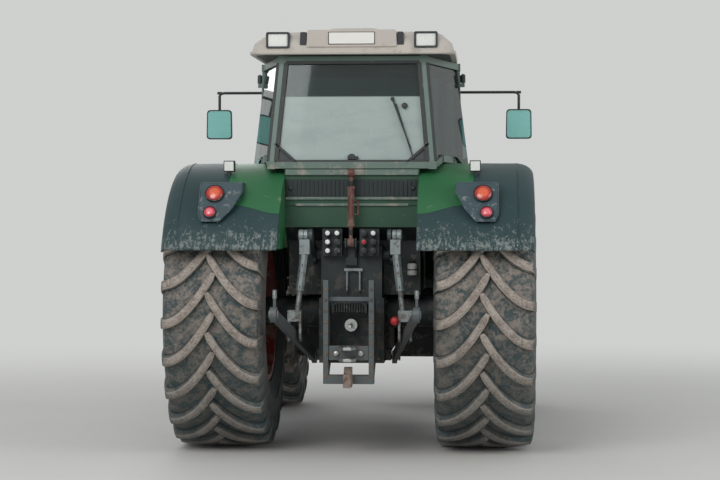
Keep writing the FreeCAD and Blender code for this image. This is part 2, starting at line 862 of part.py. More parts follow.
def cab_base():
    """Floor, tub walls between the fenders, rear wall with its ledge, and front wall."""
    edge = fender_inner_x - seat_gap
    low = cab_base_z
    wide = front_post_x + rail_width / 2
    nose = cab_front_y + rail_width / 2
    floor = plan_slab([(-edge, tub_back_y), (edge, tub_back_y), (edge, tub_front_y), (wide, tub_front_y + 95),
                       (wide, nose), (-wide, nose), (-wide, tub_front_y + 95), (-edge, tub_front_y)],
                      low, cab_floor_z)
    side = box(edge - tub_wall, edge, tub_back_y, tub_front_y, low, fender_floor_z + 60)
    back = cab_back_y + 10
    top = cab_belt_z - rail_width / 2
    knee = lift_cover_z + 30
    rear = side_slab([(tub_back_y, low), (tub_back_y + tub_wall, low), (tub_back_y + tub_wall, knee + 25),
                      (back + tub_wall, rear_wall_z + 20), (back + tub_wall, top), (back, top),
                      (back, rear_wall_z), (tub_back_y, knee)], -edge, edge)
    ledge_z = cab_belt_z - rear_ledge_drop
    ledge = box(-edge, edge, back - 22, back + 5, ledge_z - 20, ledge_z + 18)
    sill_z = rear_wall_z + 155
    sill = box(-edge, edge, back - 12, back + 5, sill_z, sill_z + 15)
    foot_y, head_y = front_post_y(low) - 20, front_post_y(cowl_z) - 20
    head_z = cowl_z - rail_width / 4
    foot_x, head_x = front_post_x - 30, front_post_top_x - 18
    front = slab([V(-foot_x, foot_y, low), V(foot_x, foot_y, low), V(head_x, head_y, head_z),
                  V(-head_x, head_y, head_z)], V(0, 22, 0))
    return joined([floor, side, mirrored(side), rear, ledge, sill, front])


def side_panel():
    """The right side panel that fills between the fender, the door and the floor."""
    back = cab_post_y + post_width / 2
    outline = [(back - 8, middle_post_z - 4), (back, door_back_z - panel_gap),
               (door_knee_y - panel_gap, door_knee_z - panel_gap), (door_sill_y - panel_gap, door_front_z),
               (door_sill_y - panel_gap, cab_base_z), (tub_front_y + 15, cab_base_z),
               (tub_front_y - 5, fender_floor_z - 120), (tub_front_y - 100, fender_end_z + 8),
               (cab_post_y + 170, fender_end_z + 188)]
    push = door_normal() * panel_thickness
    panel = slab([on_side(y, z).sub(push * 0.5) for y, z in outline], push)
    clear = fender_radius + seat_gap
    arch = over_fender([(fender_inner_x - 50, 200), (fender_inner_x - 50, clear), (fender_outer_x, clear),
                        (fender_outer_x, 200)])
    return panel.cut(arch)


def cab():
    """Everything of the cab that stays still, apart from its roof."""
    frame = cab_frame()
    export("cab_frame", frame)
    cab_glass(frame)
    base = cab_base().cut(frame)
    panel = side_panel().cut(frame).cut(base)
    panel = max(panel.Solids, key=lambda solid: solid.Volume)
    export("cab_base", Part.makeCompound([base, panel, mirrored(panel)]))


def door_corners():
    """The outer corners of the right door in its plane."""
    top = cab_top_z - post_width / 2 - panel_gap
    low = cab_floor_z + panel_gap
    back = cab_post_y + post_width / 2 + panel_gap
    inner = post_width / 2 + panel_gap
    outline = [(back, door_back_z), (door_knee_y, door_knee_z), (door_sill_y, door_front_z), (door_sill_y, low),
               (front_post_y(low) - inner, low), (front_post_y(top) - inner, top), (back, top)]
    return [on_side(y, z) for y, z in outline]


def door_axis():
    """The right door's hinge line, outside the middle post's front edge."""
    normal = door_normal()
    y = cab_post_y + post_width / 2 + panel_gap / 2 - normal.y * door_hinge_out
    return on_side(y, door_back_z) + normal * door_hinge_out, on_side(y, cab_top_z) + normal * door_hinge_out


def door_pins():
    """The right door's hinge pins and the brackets that carry them on the middle post."""
    foot, head = door_axis()
    along = head.sub(foot).normalize()
    pins = []
    for share in door_hinge_shares:
        low = foot + head.sub(foot) * share
        pins.append(stem(door_hinge_radius, low.sub(along * 30), low + along * (door_barrel_length + moving_gap), 8))
        pins.append(box(low.x - door_hinge_out, low.x + 8, low.y - 40, low.y - 1, low.z - 34, low.z - moving_gap))
    return pins


def door_leaves():
    """The right door's hinge barrels, each with the leaf that joins it to the door."""
    foot, head = door_axis()
    along = head.sub(foot).normalize()
    leaves = []
    for share in door_hinge_shares:
        low = foot + head.sub(foot) * share
        high = low + along * door_barrel_length
        leaf = box(low.x - door_hinge_out + door_thickness / 2 - 12, low.x - 2, low.y + door_hinge_radius + 2,
                   low.y + 60, low.z + 2, low.z + door_barrel_length - 3)
        barrel = joined([stem(door_barrel_radius, low, high, 8), leaf])
        leaves.append(barrel.cut(rod(door_hinge_radius + pin_gap, low.sub(along * 5), high + along * 5)))
    return leaves


def doors():
    """Both doors, each a frame with its handle and hinge leaves, and their glass."""
    corners = door_corners()
    frame = pane(corners, 0.0, door_thickness).cut(pane(corners, door_rail, 2 * door_thickness))
    normal = door_normal()
    handle_z = cab_floor_z + door_handle_lift
    handle_y = front_post_y(handle_z) - post_width / 2 - panel_gap - door_rail / 2
    grip = on_side(handle_y, handle_z) + normal * (door_thickness / 2)
    handle = bar(grip.sub(normal * 4), grip + normal * 34, 24, 110, V(0, 1, 0))
    export_pair("door", joined([frame, handle] + door_leaves()))
    export_pair("door_glass", pane(corners, door_rail + seat_gap))


def roof_ring(half, inset_y, z):
    """The roof's outline at one height, narrower towards the front."""
    back, front = roof_back_y + inset_y, roof_front_y - inset_y
    c, slim = roof_corner, half - roof_taper
    right = [(half - c, back), (half, back + c), (half, cab_post_y), (slim, front - c), (slim - c, front)]
    return [V(x, y, z) for x, y in right] + [V(-x, y, z) for x, y in reversed(right)]


def roof(markers):
    """The roof shell with its crown, lip and lamp pockets, and its four work lamps."""
    lip = roof_bottom_z + roof_lip
    body = skinned([roof_ring(roof_half_width, 0.0, roof_bottom_z), roof_ring(roof_half_width, 0.0, lip),
                    roof_ring(roof_half_width - 28, 26.0, lip + 60),
                    roof_ring(roof_top_half_width, 95.0, roof_top_z)])
    rows = []
    for half, lift, z in ((roof_crown_half_width + 40, 0, roof_top_z - 10), (roof_crown_half_width, 40, roof_crown_z)):
        back, front = roof_back_y + 130 + lift, roof_front_y - 190 - lift
        rows.append([V(-half, back, z), V(half, back, z), V(half, front, z), V(-half, front, z)])
    shell = joined([body, skinned(rows)])
    made = []
    low = lip + 22
    high = low + roof_lamp_height
    g = seat_gap
    for x_middle, y0, y1 in ((roof_lamp_x, roof_back_y + 4, roof_back_y + 4 + roof_lamp_depth),
                             (roof_front_lamp_x, roof_front_y - 4 - roof_lamp_depth, roof_front_y - 4)):
        outer_y = (y0 - 50, y1 + g) if x_middle == roof_lamp_x else (y0 - g, y1 + 50)
        for side in (-1, 1):
            x0 = side * x_middle - roof_lamp_width / 2
            x1 = x0 + roof_lamp_width
            shell = shell.cut(box(x0 - g, x1 + g, outer_y[0], outer_y[1], low - g, high + g))
            made.append(box(x0, x1, y0, y1, low, high))
    export("roof", shell)
    export("work_lamps", Part.makeCompound(made + markers))


def hood_section(y, half, top, bottom):
    """The hood's outline across the tractor, with both upper edges rounded off."""
    c = hood_corner
    right = [(half, bottom), (half, top - c), (half - 0.22 * c, top - 0.42 * c), (half - 0.62 * c, top - 0.1 * c),
             (half - c, top)]
    return [V(x, y, z) for x, z in right] + [V(-x, y, z) for x, z in reversed(right)]


def hood():
    """The one-piece hood with its grille and headlamps, hinged near the cab."""
    back, nose, t = hood_back_y, hood_nose_y, hood_skin
    shoulder = nose - hood_nose_length
    share = (shoulder - back) / (nose - back)
    half_mid = hood_back_half_width + (hood_front_half_width - hood_back_half_width) * share
    top_mid = hood_back_z + (hood_front_z + hood_nose_drop - hood_back_z) * share
    bottom = hood_bottom_z
    outer = skinned([hood_section(back, hood_back_half_width, hood_back_z, bottom),
                     hood_section(shoulder, half_mid, top_mid, bottom),
                     hood_section(nose, hood_front_half_width, hood_front_z, bottom + 20)])
    deep = bottom - 60
    inner = skinned([hood_section(back - 40, hood_back_half_width - t, hood_back_z - t, deep),
                     hood_section(shoulder, half_mid - t, top_mid - t, deep),
                     hood_section(nose - t, hood_front_half_width - t, hood_front_z - t, deep)])
    mouth = box(-grille_half_width, grille_half_width, nose - t - 5, nose + 5, grille_bottom_z, grille_top_z)
    parts = [outer.cut(inner).cut(mouth)]
    y, z = hood_hinge_y, hood_hinge_z
    for side in (-1, 1):
        x = side * hood_hinge_x
        ear = box(x - 8, x + 8, y - 26, y + 26, z - 26, hood_back_z - t + 4)
        parts.append(ear.cut(cross_rod(hood_hinge_radius + pin_gap, x - 20, x + 20, y, z)))
    export("hood", joined(parts))
    g = seat_gap
    half, low, high = grille_half_width - g, grille_bottom_z + g, grille_top_z - g
    surround = box(-half, half, nose - t, nose, low, high)
    bars = [surround.cut(box(20 - half, half - 20, nose - t - 5, nose + 5, low + 20, high - 20))]
    for k in range(grille_bar_count):
        z = low + 20 + (high - low - 40) * (k + 0.5) / grille_bar_count
        bars.append(box(15 - half, half - 15, nose - t, nose - 4, z - 7, z + 7))
    bars.append(box(-6, 6, nose - t, nose - 2, low + 15, high - 15))
    export("grille", joined(bars))
    top = hood_front_z
    lamp = back_slab([(110, top - 118), (225, top - 95), (215, top - 45), (140, top - 35)], nose + g, nose + 20)
    export("headlamps", both_sides(lamp))


def hood_brackets():
    """The plates on the engine that carry the hood's hinge pins."""
    y, z = hood_hinge_y, hood_hinge_z
    outer = hood_hinge_x - 8 - moving_gap
    half = hood_bracket_half
    plate = box(outer - 12, outer, y - half, y + half, engine_top_z + seat_gap, z + half - 2)
    bracket = joined([plate, cross_stem(hood_hinge_radius, outer - 6, hood_hinge_x + 14, y, z, 8)])
    export("hood_brackets", both_sides(bracket))


def transmission():
    """The transmission housing with its lift cover, the cab's mounts and the pins of the lower links."""
    w = transmission_half_width
    back = transmission_back_y
    main = box(-w, w, back, transmission_front_y, transmission_bottom_z, transmission_top_z)
    cover = box(-lift_cover_half_width, lift_cover_half_width, back, tub_back_y - lift_cover_gap,
                transmission_top_z - 10, lift_cover_z)
    parts = [main, cover]
    mount = cab_mount_size
    y, z = link_pin_y, link_pin_z
    for side in (-1, 1):
        x = side * (w - mount / 2)
        for mount_y in (tub_back_y + mount, cab_front_y - 2 * mount):
            parts.append(box(x - mount / 2, x + mount / 2, mount_y, mount_y + mount, transmission_top_z - 10,
                             cab_base_z - seat_gap))
        inner = side * (w - 5)
        boss_x = side * (link_pin_x - link_plate / 2 - moving_gap)
        pin_x = side * (link_pin_x + link_plate / 2 + 16)
        parts.append(box(min(inner, boss_x), max(inner, boss_x), y - 60, y + 60, z - 20, z + 60))
        parts.append(cross_stem(link_pin_radius, min(inner, pin_x), max(inner, pin_x), y, z, 10))
    housing = joined(parts)
    housing = housing.cut(cross_rod(rockshaft_radius + pin_gap, -400, 400, rockshaft_y, rockshaft_z))
    bearing = rod(pto_bearing_radius + pin_gap, V(0, back - 5, pto_z), V(0, back + 45, pto_z))
    export("transmission_housing", housing.cut(bearing))


def rear_axle():
    """The two axle trumpets, each bored for its wheel's shaft."""
    root, end = transmission_half_width + seat_gap, trumpet_end_x
    y, z = rear_axle_y, rear_axle_z
    trumpet = turned([(root, 0.0), (root, trumpet_root_radius), (root + 120, trumpet_root_radius - 10),
                      (end, trumpet_end_radius), (end, 0.0)], y, z, 16)
    bore = hole(axle_shaft_radius + pin_gap, V(end - 160, y, z), V(end + 5, y, z), 16)
    export("rear_axle", both_sides(trumpet.cut(bore)))


def front_frame():
    """The frame ahead of the engine, with the two hangers of the front axle's pivot."""
    f = frame_half_width
    back, front = engine_front_y + seat_gap, frame_front_y
    low, high = frame_bottom_z, frame_top_z
    parts = [box(-f, frame_plate - f, back, front, low, high), box(f - frame_plate, f, back, front, low, high),
             box(-f, f, back, front, low, low + 30), box(-f, f, back, back + 30, low, high),
             box(-f, f, front - 30, front, low, high)]
    half = axle_pivot_length / 2
    for y0 in (front_axle_y - half, front_axle_y + half - 40):
        parts.append(box(-100, 100, y0, y0 + 40, front_axle_z - 80, low + 5))
    pivot = stem(axle_pivot_radius + pin_gap, V(0, front_axle_y - 200, front_axle_z),
                 V(0, front_axle_y + 200, front_axle_z))
    export("front_frame", joined(parts).cut(pivot))


def front_axle():
    """The front axle beam with its pivot shaft and a bored boss at each end."""
    y, z = front_axle_y, front_axle_z
    half_depth, half_height = axle_beam_depth / 2, axle_beam_height / 2
    half_boss = axle_boss_height / 2
    half_pivot = axle_pivot_length / 2 + 8
    parts = [box(-kingpin_x, kingpin_x, y - half_depth, y + half_depth, z - half_height, z + half_height),
             box(-130, 130, y - half_depth, y + half_depth, z - half_height - 70, z + half_height + 30),
             stem(axle_pivot_radius, V(0, y - half_pivot, z), V(0, y + half_pivot, z))]
    for side in (-1, 1):
        x = side * kingpin_x
        parts.append(stem(kingpin_boss_radius, V(x, y, z - half_boss), V(x, y, z + half_boss)))
    axle = joined(parts)
    end = kingpin_x + kingpin_boss_radius
    axle = axle.common(box(-end, end, y - 300, y + 300, z - 300, z + 300))
    for side in (-1, 1):
        x = side * kingpin_x
        axle = axle.cut(rod(kingpin_radius + pin_gap, V(x, y, z - 200), V(x, y, z + 200)))
    export("front_axle", axle)


def drive_shaft():
    """The front wheels' drive shaft, between the transmission and the axle's pivot."""
    z = front_axle_z
    back = engine_back_y
    front = front_axle_y - axle_pivot_length / 2 - 8 - seat_gap
    r = drive_shaft_radius
    export("front_drive_shaft", joined([stem(r, V(0, back, z), V(0, front, z)),
                                        stem(r + 16, V(0, back, z), V(0, back + 90, z)),
                                        stem(r + 16, V(0, front - 90, z), V(0, front, z))]))


def driveline():
    """Transmission, rear axle, engine block, front frame, front axle and drive shaft."""
    transmission()
    rear_axle()
    e = engine_half_width
    export("engine_block", box(-e, e, engine_back_y, engine_front_y, engine_bottom_z, engine_top_z))
    front_frame()
    front_axle()
    drive_shaft()


def steering():
    """Knuckles with kingpin, spindle and arm, and the tie rod between them."""
    x, y, z = kingpin_x, front_axle_y, front_axle_z
    half = axle_boss_height / 2 + moving_gap
    plate = knuckle_plate
    web_in, web_out = knuckle_web_x, knuckle_web_x + knuckle_web
    d = knuckle_half_depth
    a = steering_arm_half_width
    disc_x = front_track / 2 - front_disc_offset - disc_plate
    arm_z = z - half - plate
    rod_z = arm_z + plate + moving_gap
    end_y = y - steering_arm
    export_pair("knuckle", joined([
        box(x - 50, web_out, y - d, y + d, z - half - plate, z - half),
        box(x - 50, web_out, y - d, y + d, z + half, z + half + plate),
        box(web_in, web_out, y - d, y + d, z - half - plate, z + half + plate),
        stem(kingpin_radius, V(x, y, arm_z), V(x, y, z + half + plate)),
        cross_stem(spindle_radius, web_out - 5, disc_x - moving_gap, y, z),
        box(x - a, x + a, end_y, y, arm_z, arm_z + plate),
        stem(tie_eye_radius, V(x, end_y, arm_z), V(x, end_y, arm_z + plate), 8),
        stem(tie_stud_radius, V(x, end_y, arm_z), V(x, end_y, rod_z + tie_eye_height + 6), 8)]))
    middle_z = rod_z + tie_eye_height / 2
    parts = [cross_stem(tie_rod_radius, -x, x, end_y, middle_z, 8)]
    for side in (-1, 1):
        foot = V(side * x, end_y, rod_z)
        parts.append(stem(tie_eye_radius, foot, foot + V(0, 0, tie_eye_height), 8))
    tie = joined(parts)
    for side in (-1, 1):
        tie = tie.cut(rod(tie_stud_radius + pin_gap, V(side * x, end_y, rod_z - 40), V(side * x, end_y, rod_z + 80)))
    export("tie_rod", tie)


def weights():
    """The front weights, hung side by side on a bar."""
    back, front = frame_front_y + seat_gap, front_axle_y + front_reach
    low, high = front_axle_z - 105, front_axle_z + 335
    half = weight_half_span
    outline = [(back, low + 60), (front - 60, low), (front, low + 60), (front, high - 70), (front - 50, high),
               (back, high)]
    plates = [box(-half, half, back + 60, back + 110, low + 220, low + 290)]
    for k in range(weight_count):
        x = 2 * half * ((k + 0.5) / weight_count - 0.5)
        plates.append(side_slab(outline, x - weight_width / 2, x + weight_width / 2))
    export("front_weights", joined(plates))


def tanks():
    """The fuel tank on the left and the shorter tool box on the right."""
    inner = transmission_half_width + seat_gap
    o = tank_outer_x
    low, top = tank_bottom_z, transmission_top_z - 5
    outline = [(inner, low + 60), (inner, top), (o - 20, top), (o, top - 30), (o, low + 90), (o - 90, low),
               (inner + 60, low)]
    export("fuel_tank", mirrored(back_slab(outline, tank_back_y, tank_front_y)))
    export("tool_box", back_slab(outline, tank_back_y, tank_front_y - tool_box_gap))


def steps():
    """Three treads to each door, each with its side lips, on two uprights."""
    x0 = tank_outer_x + seat_gap
    p, w = step_plate, step_width
    top = transmission_top_z - 10
    parts = []
    for y in (step_y, step_y + w - p):
        parts.append(box(x0, x0 + 60, y, y + p, step_first_z, top - 50))
        parts.append(box(x0, x0 + 14, y, y + p, step_first_z, top))
    for k in range(step_count):
        z = step_first_z + k * step_rise
        depth = step_depth - k * 25
        parts.append(box(x0, x0 + depth, step_y, step_y + w, z, z + 28))
        for y in (step_y, step_y + w - p):
            parts.append(box(x0, x0 + depth, y, y + p, z, z + 95))
    export("steps", both_sides(joined(parts)))


def exhaust():
    """The exhaust pipe from the engine's side up past the windshield."""
    x, y = exhaust_x, cab_front_y + exhaust_reach
    r = exhaust_radius
    low = hood_bottom_z - 60
    foot = hood_bottom_z + 300
    can = foot + muffler_length
    tip = cab_top_z - 90
    bend = 1.5 * r
    sides = 10
    pipe = joined([stem(r, V(engine_half_width + seat_gap, y, low), V(x - bend, y, low), sides),
                   stem(r, V(x - bend - 12, y, low - 4), V(x + 4, y, low + bend + 12), sides),
                   stem(r, V(x, y, low + bend - 5), V(x, y, foot + 10), sides),
                   stem(muffler_radius, V(x, y, foot), V(x, y, can), sides + 4),
                   stem(tail_radius, V(x, y, can - 10), V(x, y, tip), sides)])
    slant = slab([V(x - 60, y - 60, tip - 50), V(x + 60, y - 60, tip + 20), V(x - 60, y - 60, tip + 20)], V(0, 120, 0))
    export("exhaust", pipe.cut(slant).cut(stem(tail_radius - tail_wall, V(x, y, tip - 180), V(x, y, tip + 50), sides)))


def mirrors():
    """A mirror on each side, on an arm from the front post."""
    z = cab_top_z - mirror_drop
    y = front_post_y(z) + post_width / 2 + 90
    x, r = mirror_x, mirror_arm_radius
    head_z = z - mirror_height - 15
    face = rail_width / 2 * math.hypot(1, front_post_lean / cab_height)
    post = V(front_post_top_x + 10, front_post_y(z - 15) + face + seat_gap, z)
    bracket = box(post.x - 15, post.x + 15, post.y, y + 12, z - 15, z + 15)
    sunk = head_z + mirror_height / 2 - 40
    arm = joined([bracket, stem(r, V(post.x, y, z), V(x + 20, y, z), 8), stem(r, V(x, y, z), V(x, y, sunk), 8)])
    half = mirror_half_width
    head = box(x - half, x + half, y - 30, y + 40, head_z - mirror_height / 2, head_z + mirror_height / 2)
    hole = r + seat_gap
    head = head.cut(box(x - hole, x + hole, y - hole, y + hole, sunk - seat_gap, z))
    export("mirrors", Part.makeCompound([arm, head, mirrored(arm), mirrored(head)]))


def seat():
    """The driver's seat: cushion, backrest, pedestal and arm rests."""
    y, z, half = seat_y, seat_z, seat_width / 2
    low = z - seat_cushion
    cushion = side_slab([(y - 230, low), (y + 225, low), (y + 250, low + 30), (y + 250, z - 12), (y + 215, z + 6),
                         (y - 230, z - 10)], -half, half)
    top = z + seat_back_height
    backrest = side_slab([(y - 225, z - 70), (y - 215, z + 120), (y - 250, top), (y - 330, top),
                          (y - 335, z + 80), (y - 310, z - 70)], 15 - half, half - 15)
    foot = cab_floor_z + seat_gap
    pedestal = side_slab([(y - 190, foot), (y + 180, foot), (y + 130, low - 60), (y + 200, low + 5),
                          (y - 200, low + 5), (y - 150, low - 60)], -150, 150)
    parts = [cushion, backrest, pedestal]
    for side in (-1, 1):
        x = side * (half + 45)
        parts.append(box(x - 35, x + 35, y - 240, y + 150, z + 170, z + 215))
        x = side * (half + 20)
        parts.append(bar(V(x, y - 200, z - 20), V(x, y - 200, z + 180), 50, 40))
    export("seat", joined(parts))


def steering_wheel():
    """The dashboard with its leaning column, and the steering wheel on the column's shaft."""
    tilt = math.radians(wheel_tilt)
    axis = V(0, -math.sin(tilt), math.cos(tilt))
    up = V(0, math.cos(tilt), math.sin(tilt))
    centre = V(0, wheel_y, wheel_z)
    y, foot = dash_y, cab_floor_z + seat_gap
    dash = side_slab([(y, foot), (y + 120, foot), (y + 150, wheel_z - 160), (y + 60, wheel_z - 55),
                      (y - 40, wheel_z - 40), (y - 80, wheel_z - 100), (y - 60, wheel_z - 300)],
                     -dash_half_width, dash_half_width)
    collar = centre.sub(axis * 60)
    column = stem(column_radius, centre.sub(axis * 560), collar)
    shaft = rod(column_shaft_radius, collar.sub(axis * 20), centre + axis * 6)
    export("dashboard", joined([dash, column, shaft]))
    rows = []
    for k in range(wheel_sides):
        turn = 2 * math.pi * k / wheel_sides
        way = V(math.cos(turn), 0, 0) + up * math.sin(turn)
        section = []
        for corner in range(5):
            angle = 2 * math.pi * corner / 5
            reach = wheel_rim_radius + wheel_tube_radius * math.cos(angle)
            section.append(centre + way * reach + axis * (wheel_tube_radius * math.sin(angle)))
        rows.append(section)
    parts = [skinned(rows, True), stem(46, centre.sub(axis * 52), centre + axis * 14)]
    for turn in (0, 120, 240):
        spoke = bar(centre.sub(axis * 22), centre.sub(axis * 4) + up * (wheel_rim_radius - 4), 34, 12)
        spoke.rotate(centre, axis, turn)
        parts.append(spoke)
    bore = hole(column_shaft_radius + pin_gap, centre.sub(axis * 60), centre + axis * 20, 8)
    export("steering_wheel", joined(parts).cut(bore))


def lower_link():
    """The right lower link: a beam with an eye at its pin and an open claw at its end."""
    foot, hook = V(link_pin_x, link_pin_y, link_pin_z), V(hook_x, hook_y, hook_z)
    beam = bar(foot, foot + hook.sub(foot) * 0.975, link_plate, link_depth)
    half, wide = link_plate / 2, hook_width / 2
    y, z = hook.y, hook.z
    lever = side_slab([(y + 50, z - 20), (y + 76, z - 20), (y + 66, z + 165), (y + 50, z + 165)],
                      hook.x - 9, hook.x + 9)
    link = joined([beam, cross_stem(link_eye_radius, foot.x - half, foot.x + half, foot.y, foot.z),
                   cross_stem(hook_radius, hook.x - wide, hook.x + wide, y, z, 16), lever])
    link = link.cut(cross_stem(hook_socket, hook.x - 60, hook.x + 60, y, z, 14))
    link = link.cut(box(hook.x - 60, hook.x + 60, y - hook_mouth / 2, y + hook_mouth / 2, z, z + 90))
    return link.cut(cross_rod(link_pin_radius + pin_gap, foot.x - 60, foot.x + 60, foot.y, foot.z))


def rockshaft():
    """The shaft through the lift cover with its two lift arms and their pins."""
    half = lift_arm_plate / 2
    y, z, end_y, end_z = rockshaft_y, rockshaft_z, lift_arm_end_y, lift_arm_end_z
    parts = [cross_stem(rockshaft_radius, -lift_arm_x - half, lift_arm_x + half, y, z, 16)]
    for side in (-1, 1):
        x = side * lift_arm_x
        parts.append(bar(V(x, y, z), V(x, end_y, end_z), lift_arm_plate, lift_arm_depth))
        parts.append(cross_stem(rockshaft_radius + 29, x - half, x + half, y, z))
        parts.append(cross_stem(lift_arm_depth / 2 + 2, x - half, x + half, end_y, end_z))
        ends = (side * (lift_arm_x + half - 5), side * (lift_eye_x + lift_eye_width / 2 + 14))
        parts.append(cross_stem(lift_pin_radius, min(ends), max(ends), end_y, end_z, 10))
    export("rockshaft", joined(parts))


def lift_rod():
    """The right lift rod: an eye on the lift arm's pin and a fork that straddles the lower link."""
    foot, hook = V(link_pin_x, link_pin_y, link_pin_z), V(hook_x, hook_y, hook_z)
    top = V(lift_eye_x, lift_arm_end_y, lift_arm_end_z)
    bottom = foot + hook.sub(foot) * lift_share
    whole = bottom.sub(top)
    fork = top + whole * 0.82
    half = lift_eye_width / 2
    parts = [cross_stem(lift_eye_radius, top.x - half, top.x + half, top.y, top.z),
             stem(lift_rod_radius, top + whole * 0.03, fork, 8),
             stem(lift_rod_radius + 11, top + whole * 0.16, top + whole * 0.55, 8)]
    inner = link_plate / 2 + lift_fork_gap
    outer = inner + lift_fork_plate
    parts.append(box(bottom.x - outer, bottom.x + outer, fork.y - 40, fork.y + 40, fork.z - 22, fork.z + 55))
    for x0 in (bottom.x - outer, bottom.x + inner):
        x = x0 + lift_fork_plate / 2
        parts.append(bar(V(x, fork.y, fork.z), V(x, bottom.y, bottom.z), lift_fork_plate, 70))
        parts.append(cross_stem(37, x0, x0 + lift_fork_plate, bottom.y, bottom.z, 8))
    bore = cross_rod(lift_pin_radius + pin_gap, top.x - 40, top.x + 40, top.y, top.z)
    return joined(parts).cut(bore)


def top_link():
    """The top link, stowed upright, and the bracket that carries its pin."""
    y, z = top_link_y, top_link_z
    tip = V(0, y + top_link_lean, z + top_link_length)
    pin = V(0, y, z)
    way = tip.sub(pin)
    w = top_link_eye_width / 2
    parts = [stem(top_link_radius, pin, tip, 8), stem(top_link_radius + 11, pin + way * 0.22, pin + way * 0.8, 8)]
    for point in (pin, tip):
        parts.append(cross_stem(top_link_eye, -w, w, point.y, point.z))
    link = joined(parts)
    for point in (pin, tip):
        link = link.cut(cross_rod(top_link_pin_radius + pin_gap, -w - 5, w + 5, point.y, point.z))
    export("top_link", link)
    cheek, back = w + moving_gap, transmission_back_y - seat_gap
    outer = cheek + bracket_plate
    high = lift_cover_z - 10
    outline = [(y - 30, z - 30), (back, high - 115), (back, high), (y + 20, z + 32), (y - 30, z + 32)]
    parts = [box(-outer, outer, y + top_link_eye + moving_gap, back, high - 130, high),
             side_slab(outline, -outer, -cheek), side_slab(outline, cheek, outer),
             cross_stem(top_link_pin_radius, -outer - 6, outer + 6, y, z, 10)]
    export("top_link_bracket", joined(parts))


def hitch_ladder():
    """The coupling's ladder with its stays and foot hook, and the power take-off's guard."""
    back, front, root = ladder_back_y, ladder_front_y, transmission_back_y - seat_gap
    inner, outer, low = ladder_inner_x, ladder_outer_x, ladder_bottom_z
    stay = [(front - 5, ladder_top_z - 59), (root, transmission_top_z - 100), (root, transmission_bottom_z + 50),
            (front - 5, low + 40)]
    parts = [box(-outer, outer, back, front, low, low + 60),
             box(-outer, outer, front - 12, front, ladder_top_z - 149, ladder_top_z - 119),
             side_slab([(back + 5, low - 15), (back + 5, low + 120), (back - 30, low + 120), (back - 110, low + 40),
                        (back - 110, low + 80), (back - 135, low + 80), (back - 135, low - 15)], -28, 28)]
    for x0 in (-outer, inner):
        parts.append(box(x0, x0 + ladder_rail, back, front, low, ladder_top_z))
        parts.append(side_slab(stay, x0, x0 + ladder_rail))
    w, z = pto_guard_half_width, pto_z
    guard = back_slab([(-w, z + 95), (-w, z + 150), (30 - w, z + 172), (w - 30, z + 172), (w, z + 150), (w, z + 95),
                       (w - 10, z + 95), (w - 10, z + 145), (w - 35, z + 162), (35 - w, z + 162),
                       (10 - w, z + 145), (10 - w, z + 95)], pto_end_y + 5, root)
    export("hitch_ladder", Part.makeCompound([joined(parts), guard]))


def coupling():
    """The trailer coupling that slides between the ladder's rails, bored for its pin."""
    back = ladder_back_y
    inner = ladder_inner_x - slide_gap
    low, high = coupling_bottom_z, coupling_top_z
    half, tip = coupling_half_width, back - coupling_reach
    outline = [(-half, back + 20), (-half, tip + 40), (-25, tip), (25, tip), (half, tip + 40), (half, back + 20)]
    parts = [box(-inner, inner, back + 10, ladder_front_y - 20, low, high),
             plan_slab(outline, low, low + coupling_plate), plan_slab(outline, high - coupling_plate, high)]
    pin_y = tip + coupling_pin_inset
    hole = rod(coupling_pin_radius, V(0, pin_y, low - 10), V(0, pin_y, high + 10))
    export("trailer_coupling", joined(parts).cut(hole))


def power_take_off():
    """The power take-off's shaft, running in the housing's rear face."""
    back, z = transmission_back_y, pto_z
    export("pto_shaft", joined([stem(pto_bearing_radius, V(0, back + 40, z), V(0, back - 8, z)),
                                stem(pto_boss_radius, V(0, back - 8, z), V(0, back - 60, z)),
                                rod(pto_radius, V(0, back - 60, z), V(0, pto_end_y, z))]))


def hydraulic_couplers():
    """Two valve blocks on the lift cover, each with two columns of couplers."""
    y = transmission_back_y - seat_gap
    low, high, seat_z = lift_cover_z - coupler_drop, lift_cover_z - coupler_drop + coupler_height, lift_cover_z
    outline = [(y - coupler_block, low), (y, low), (y, seat_z + seat_gap), (y + 22, seat_z + seat_gap),
               (y + 22, high - 8), (y - coupler_block, high)]
    parts = [side_slab(outline, coupler_inner_x, coupler_outer_x)]
    for x in coupler_columns:
        for row in range(coupler_rows):
            z = low + 37 + row * coupler_pitch
            parts.append(stem(coupler_radius, V(x, y - coupler_block + 5, z), V(x, y - coupler_block - 53, z), 6))
    export("hydraulic_couplers", both_sides(joined(parts)))


wheels()
export("rear_fenders", both_sides(fender()))
export("fender_flares", both_sides(flare()))
cab()
doors()
roof(lamps())
hood()
hood_brackets()
driveline()
steering()
weights()
tanks()
steps()
exhaust()
mirrors()
seat()
steering_wheel()
export_pair("lower_link", lower_link())
rockshaft()
export_pair("lift_rod", lift_rod())
top_link()
hitch_ladder()
coupling()
power_take_off()
hydraulic_couplers()
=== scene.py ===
"""Looks of a four-wheel-drive farm tractor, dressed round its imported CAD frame.

Lengths are metres in the CAD's frame: +Y forward, +X to the tractor's right, +Z up, the ground at 0.
"""
from __future__ import annotations

import json
import logging
import math
from dataclasses import dataclass
from enum import Enum
from math import cos, pi, radians, sin
from typing import Callable, Sequence

import bmesh
import bpy
from mathutils import Matrix, Vector, noise
from mathutils.bvhtree import BVHTree

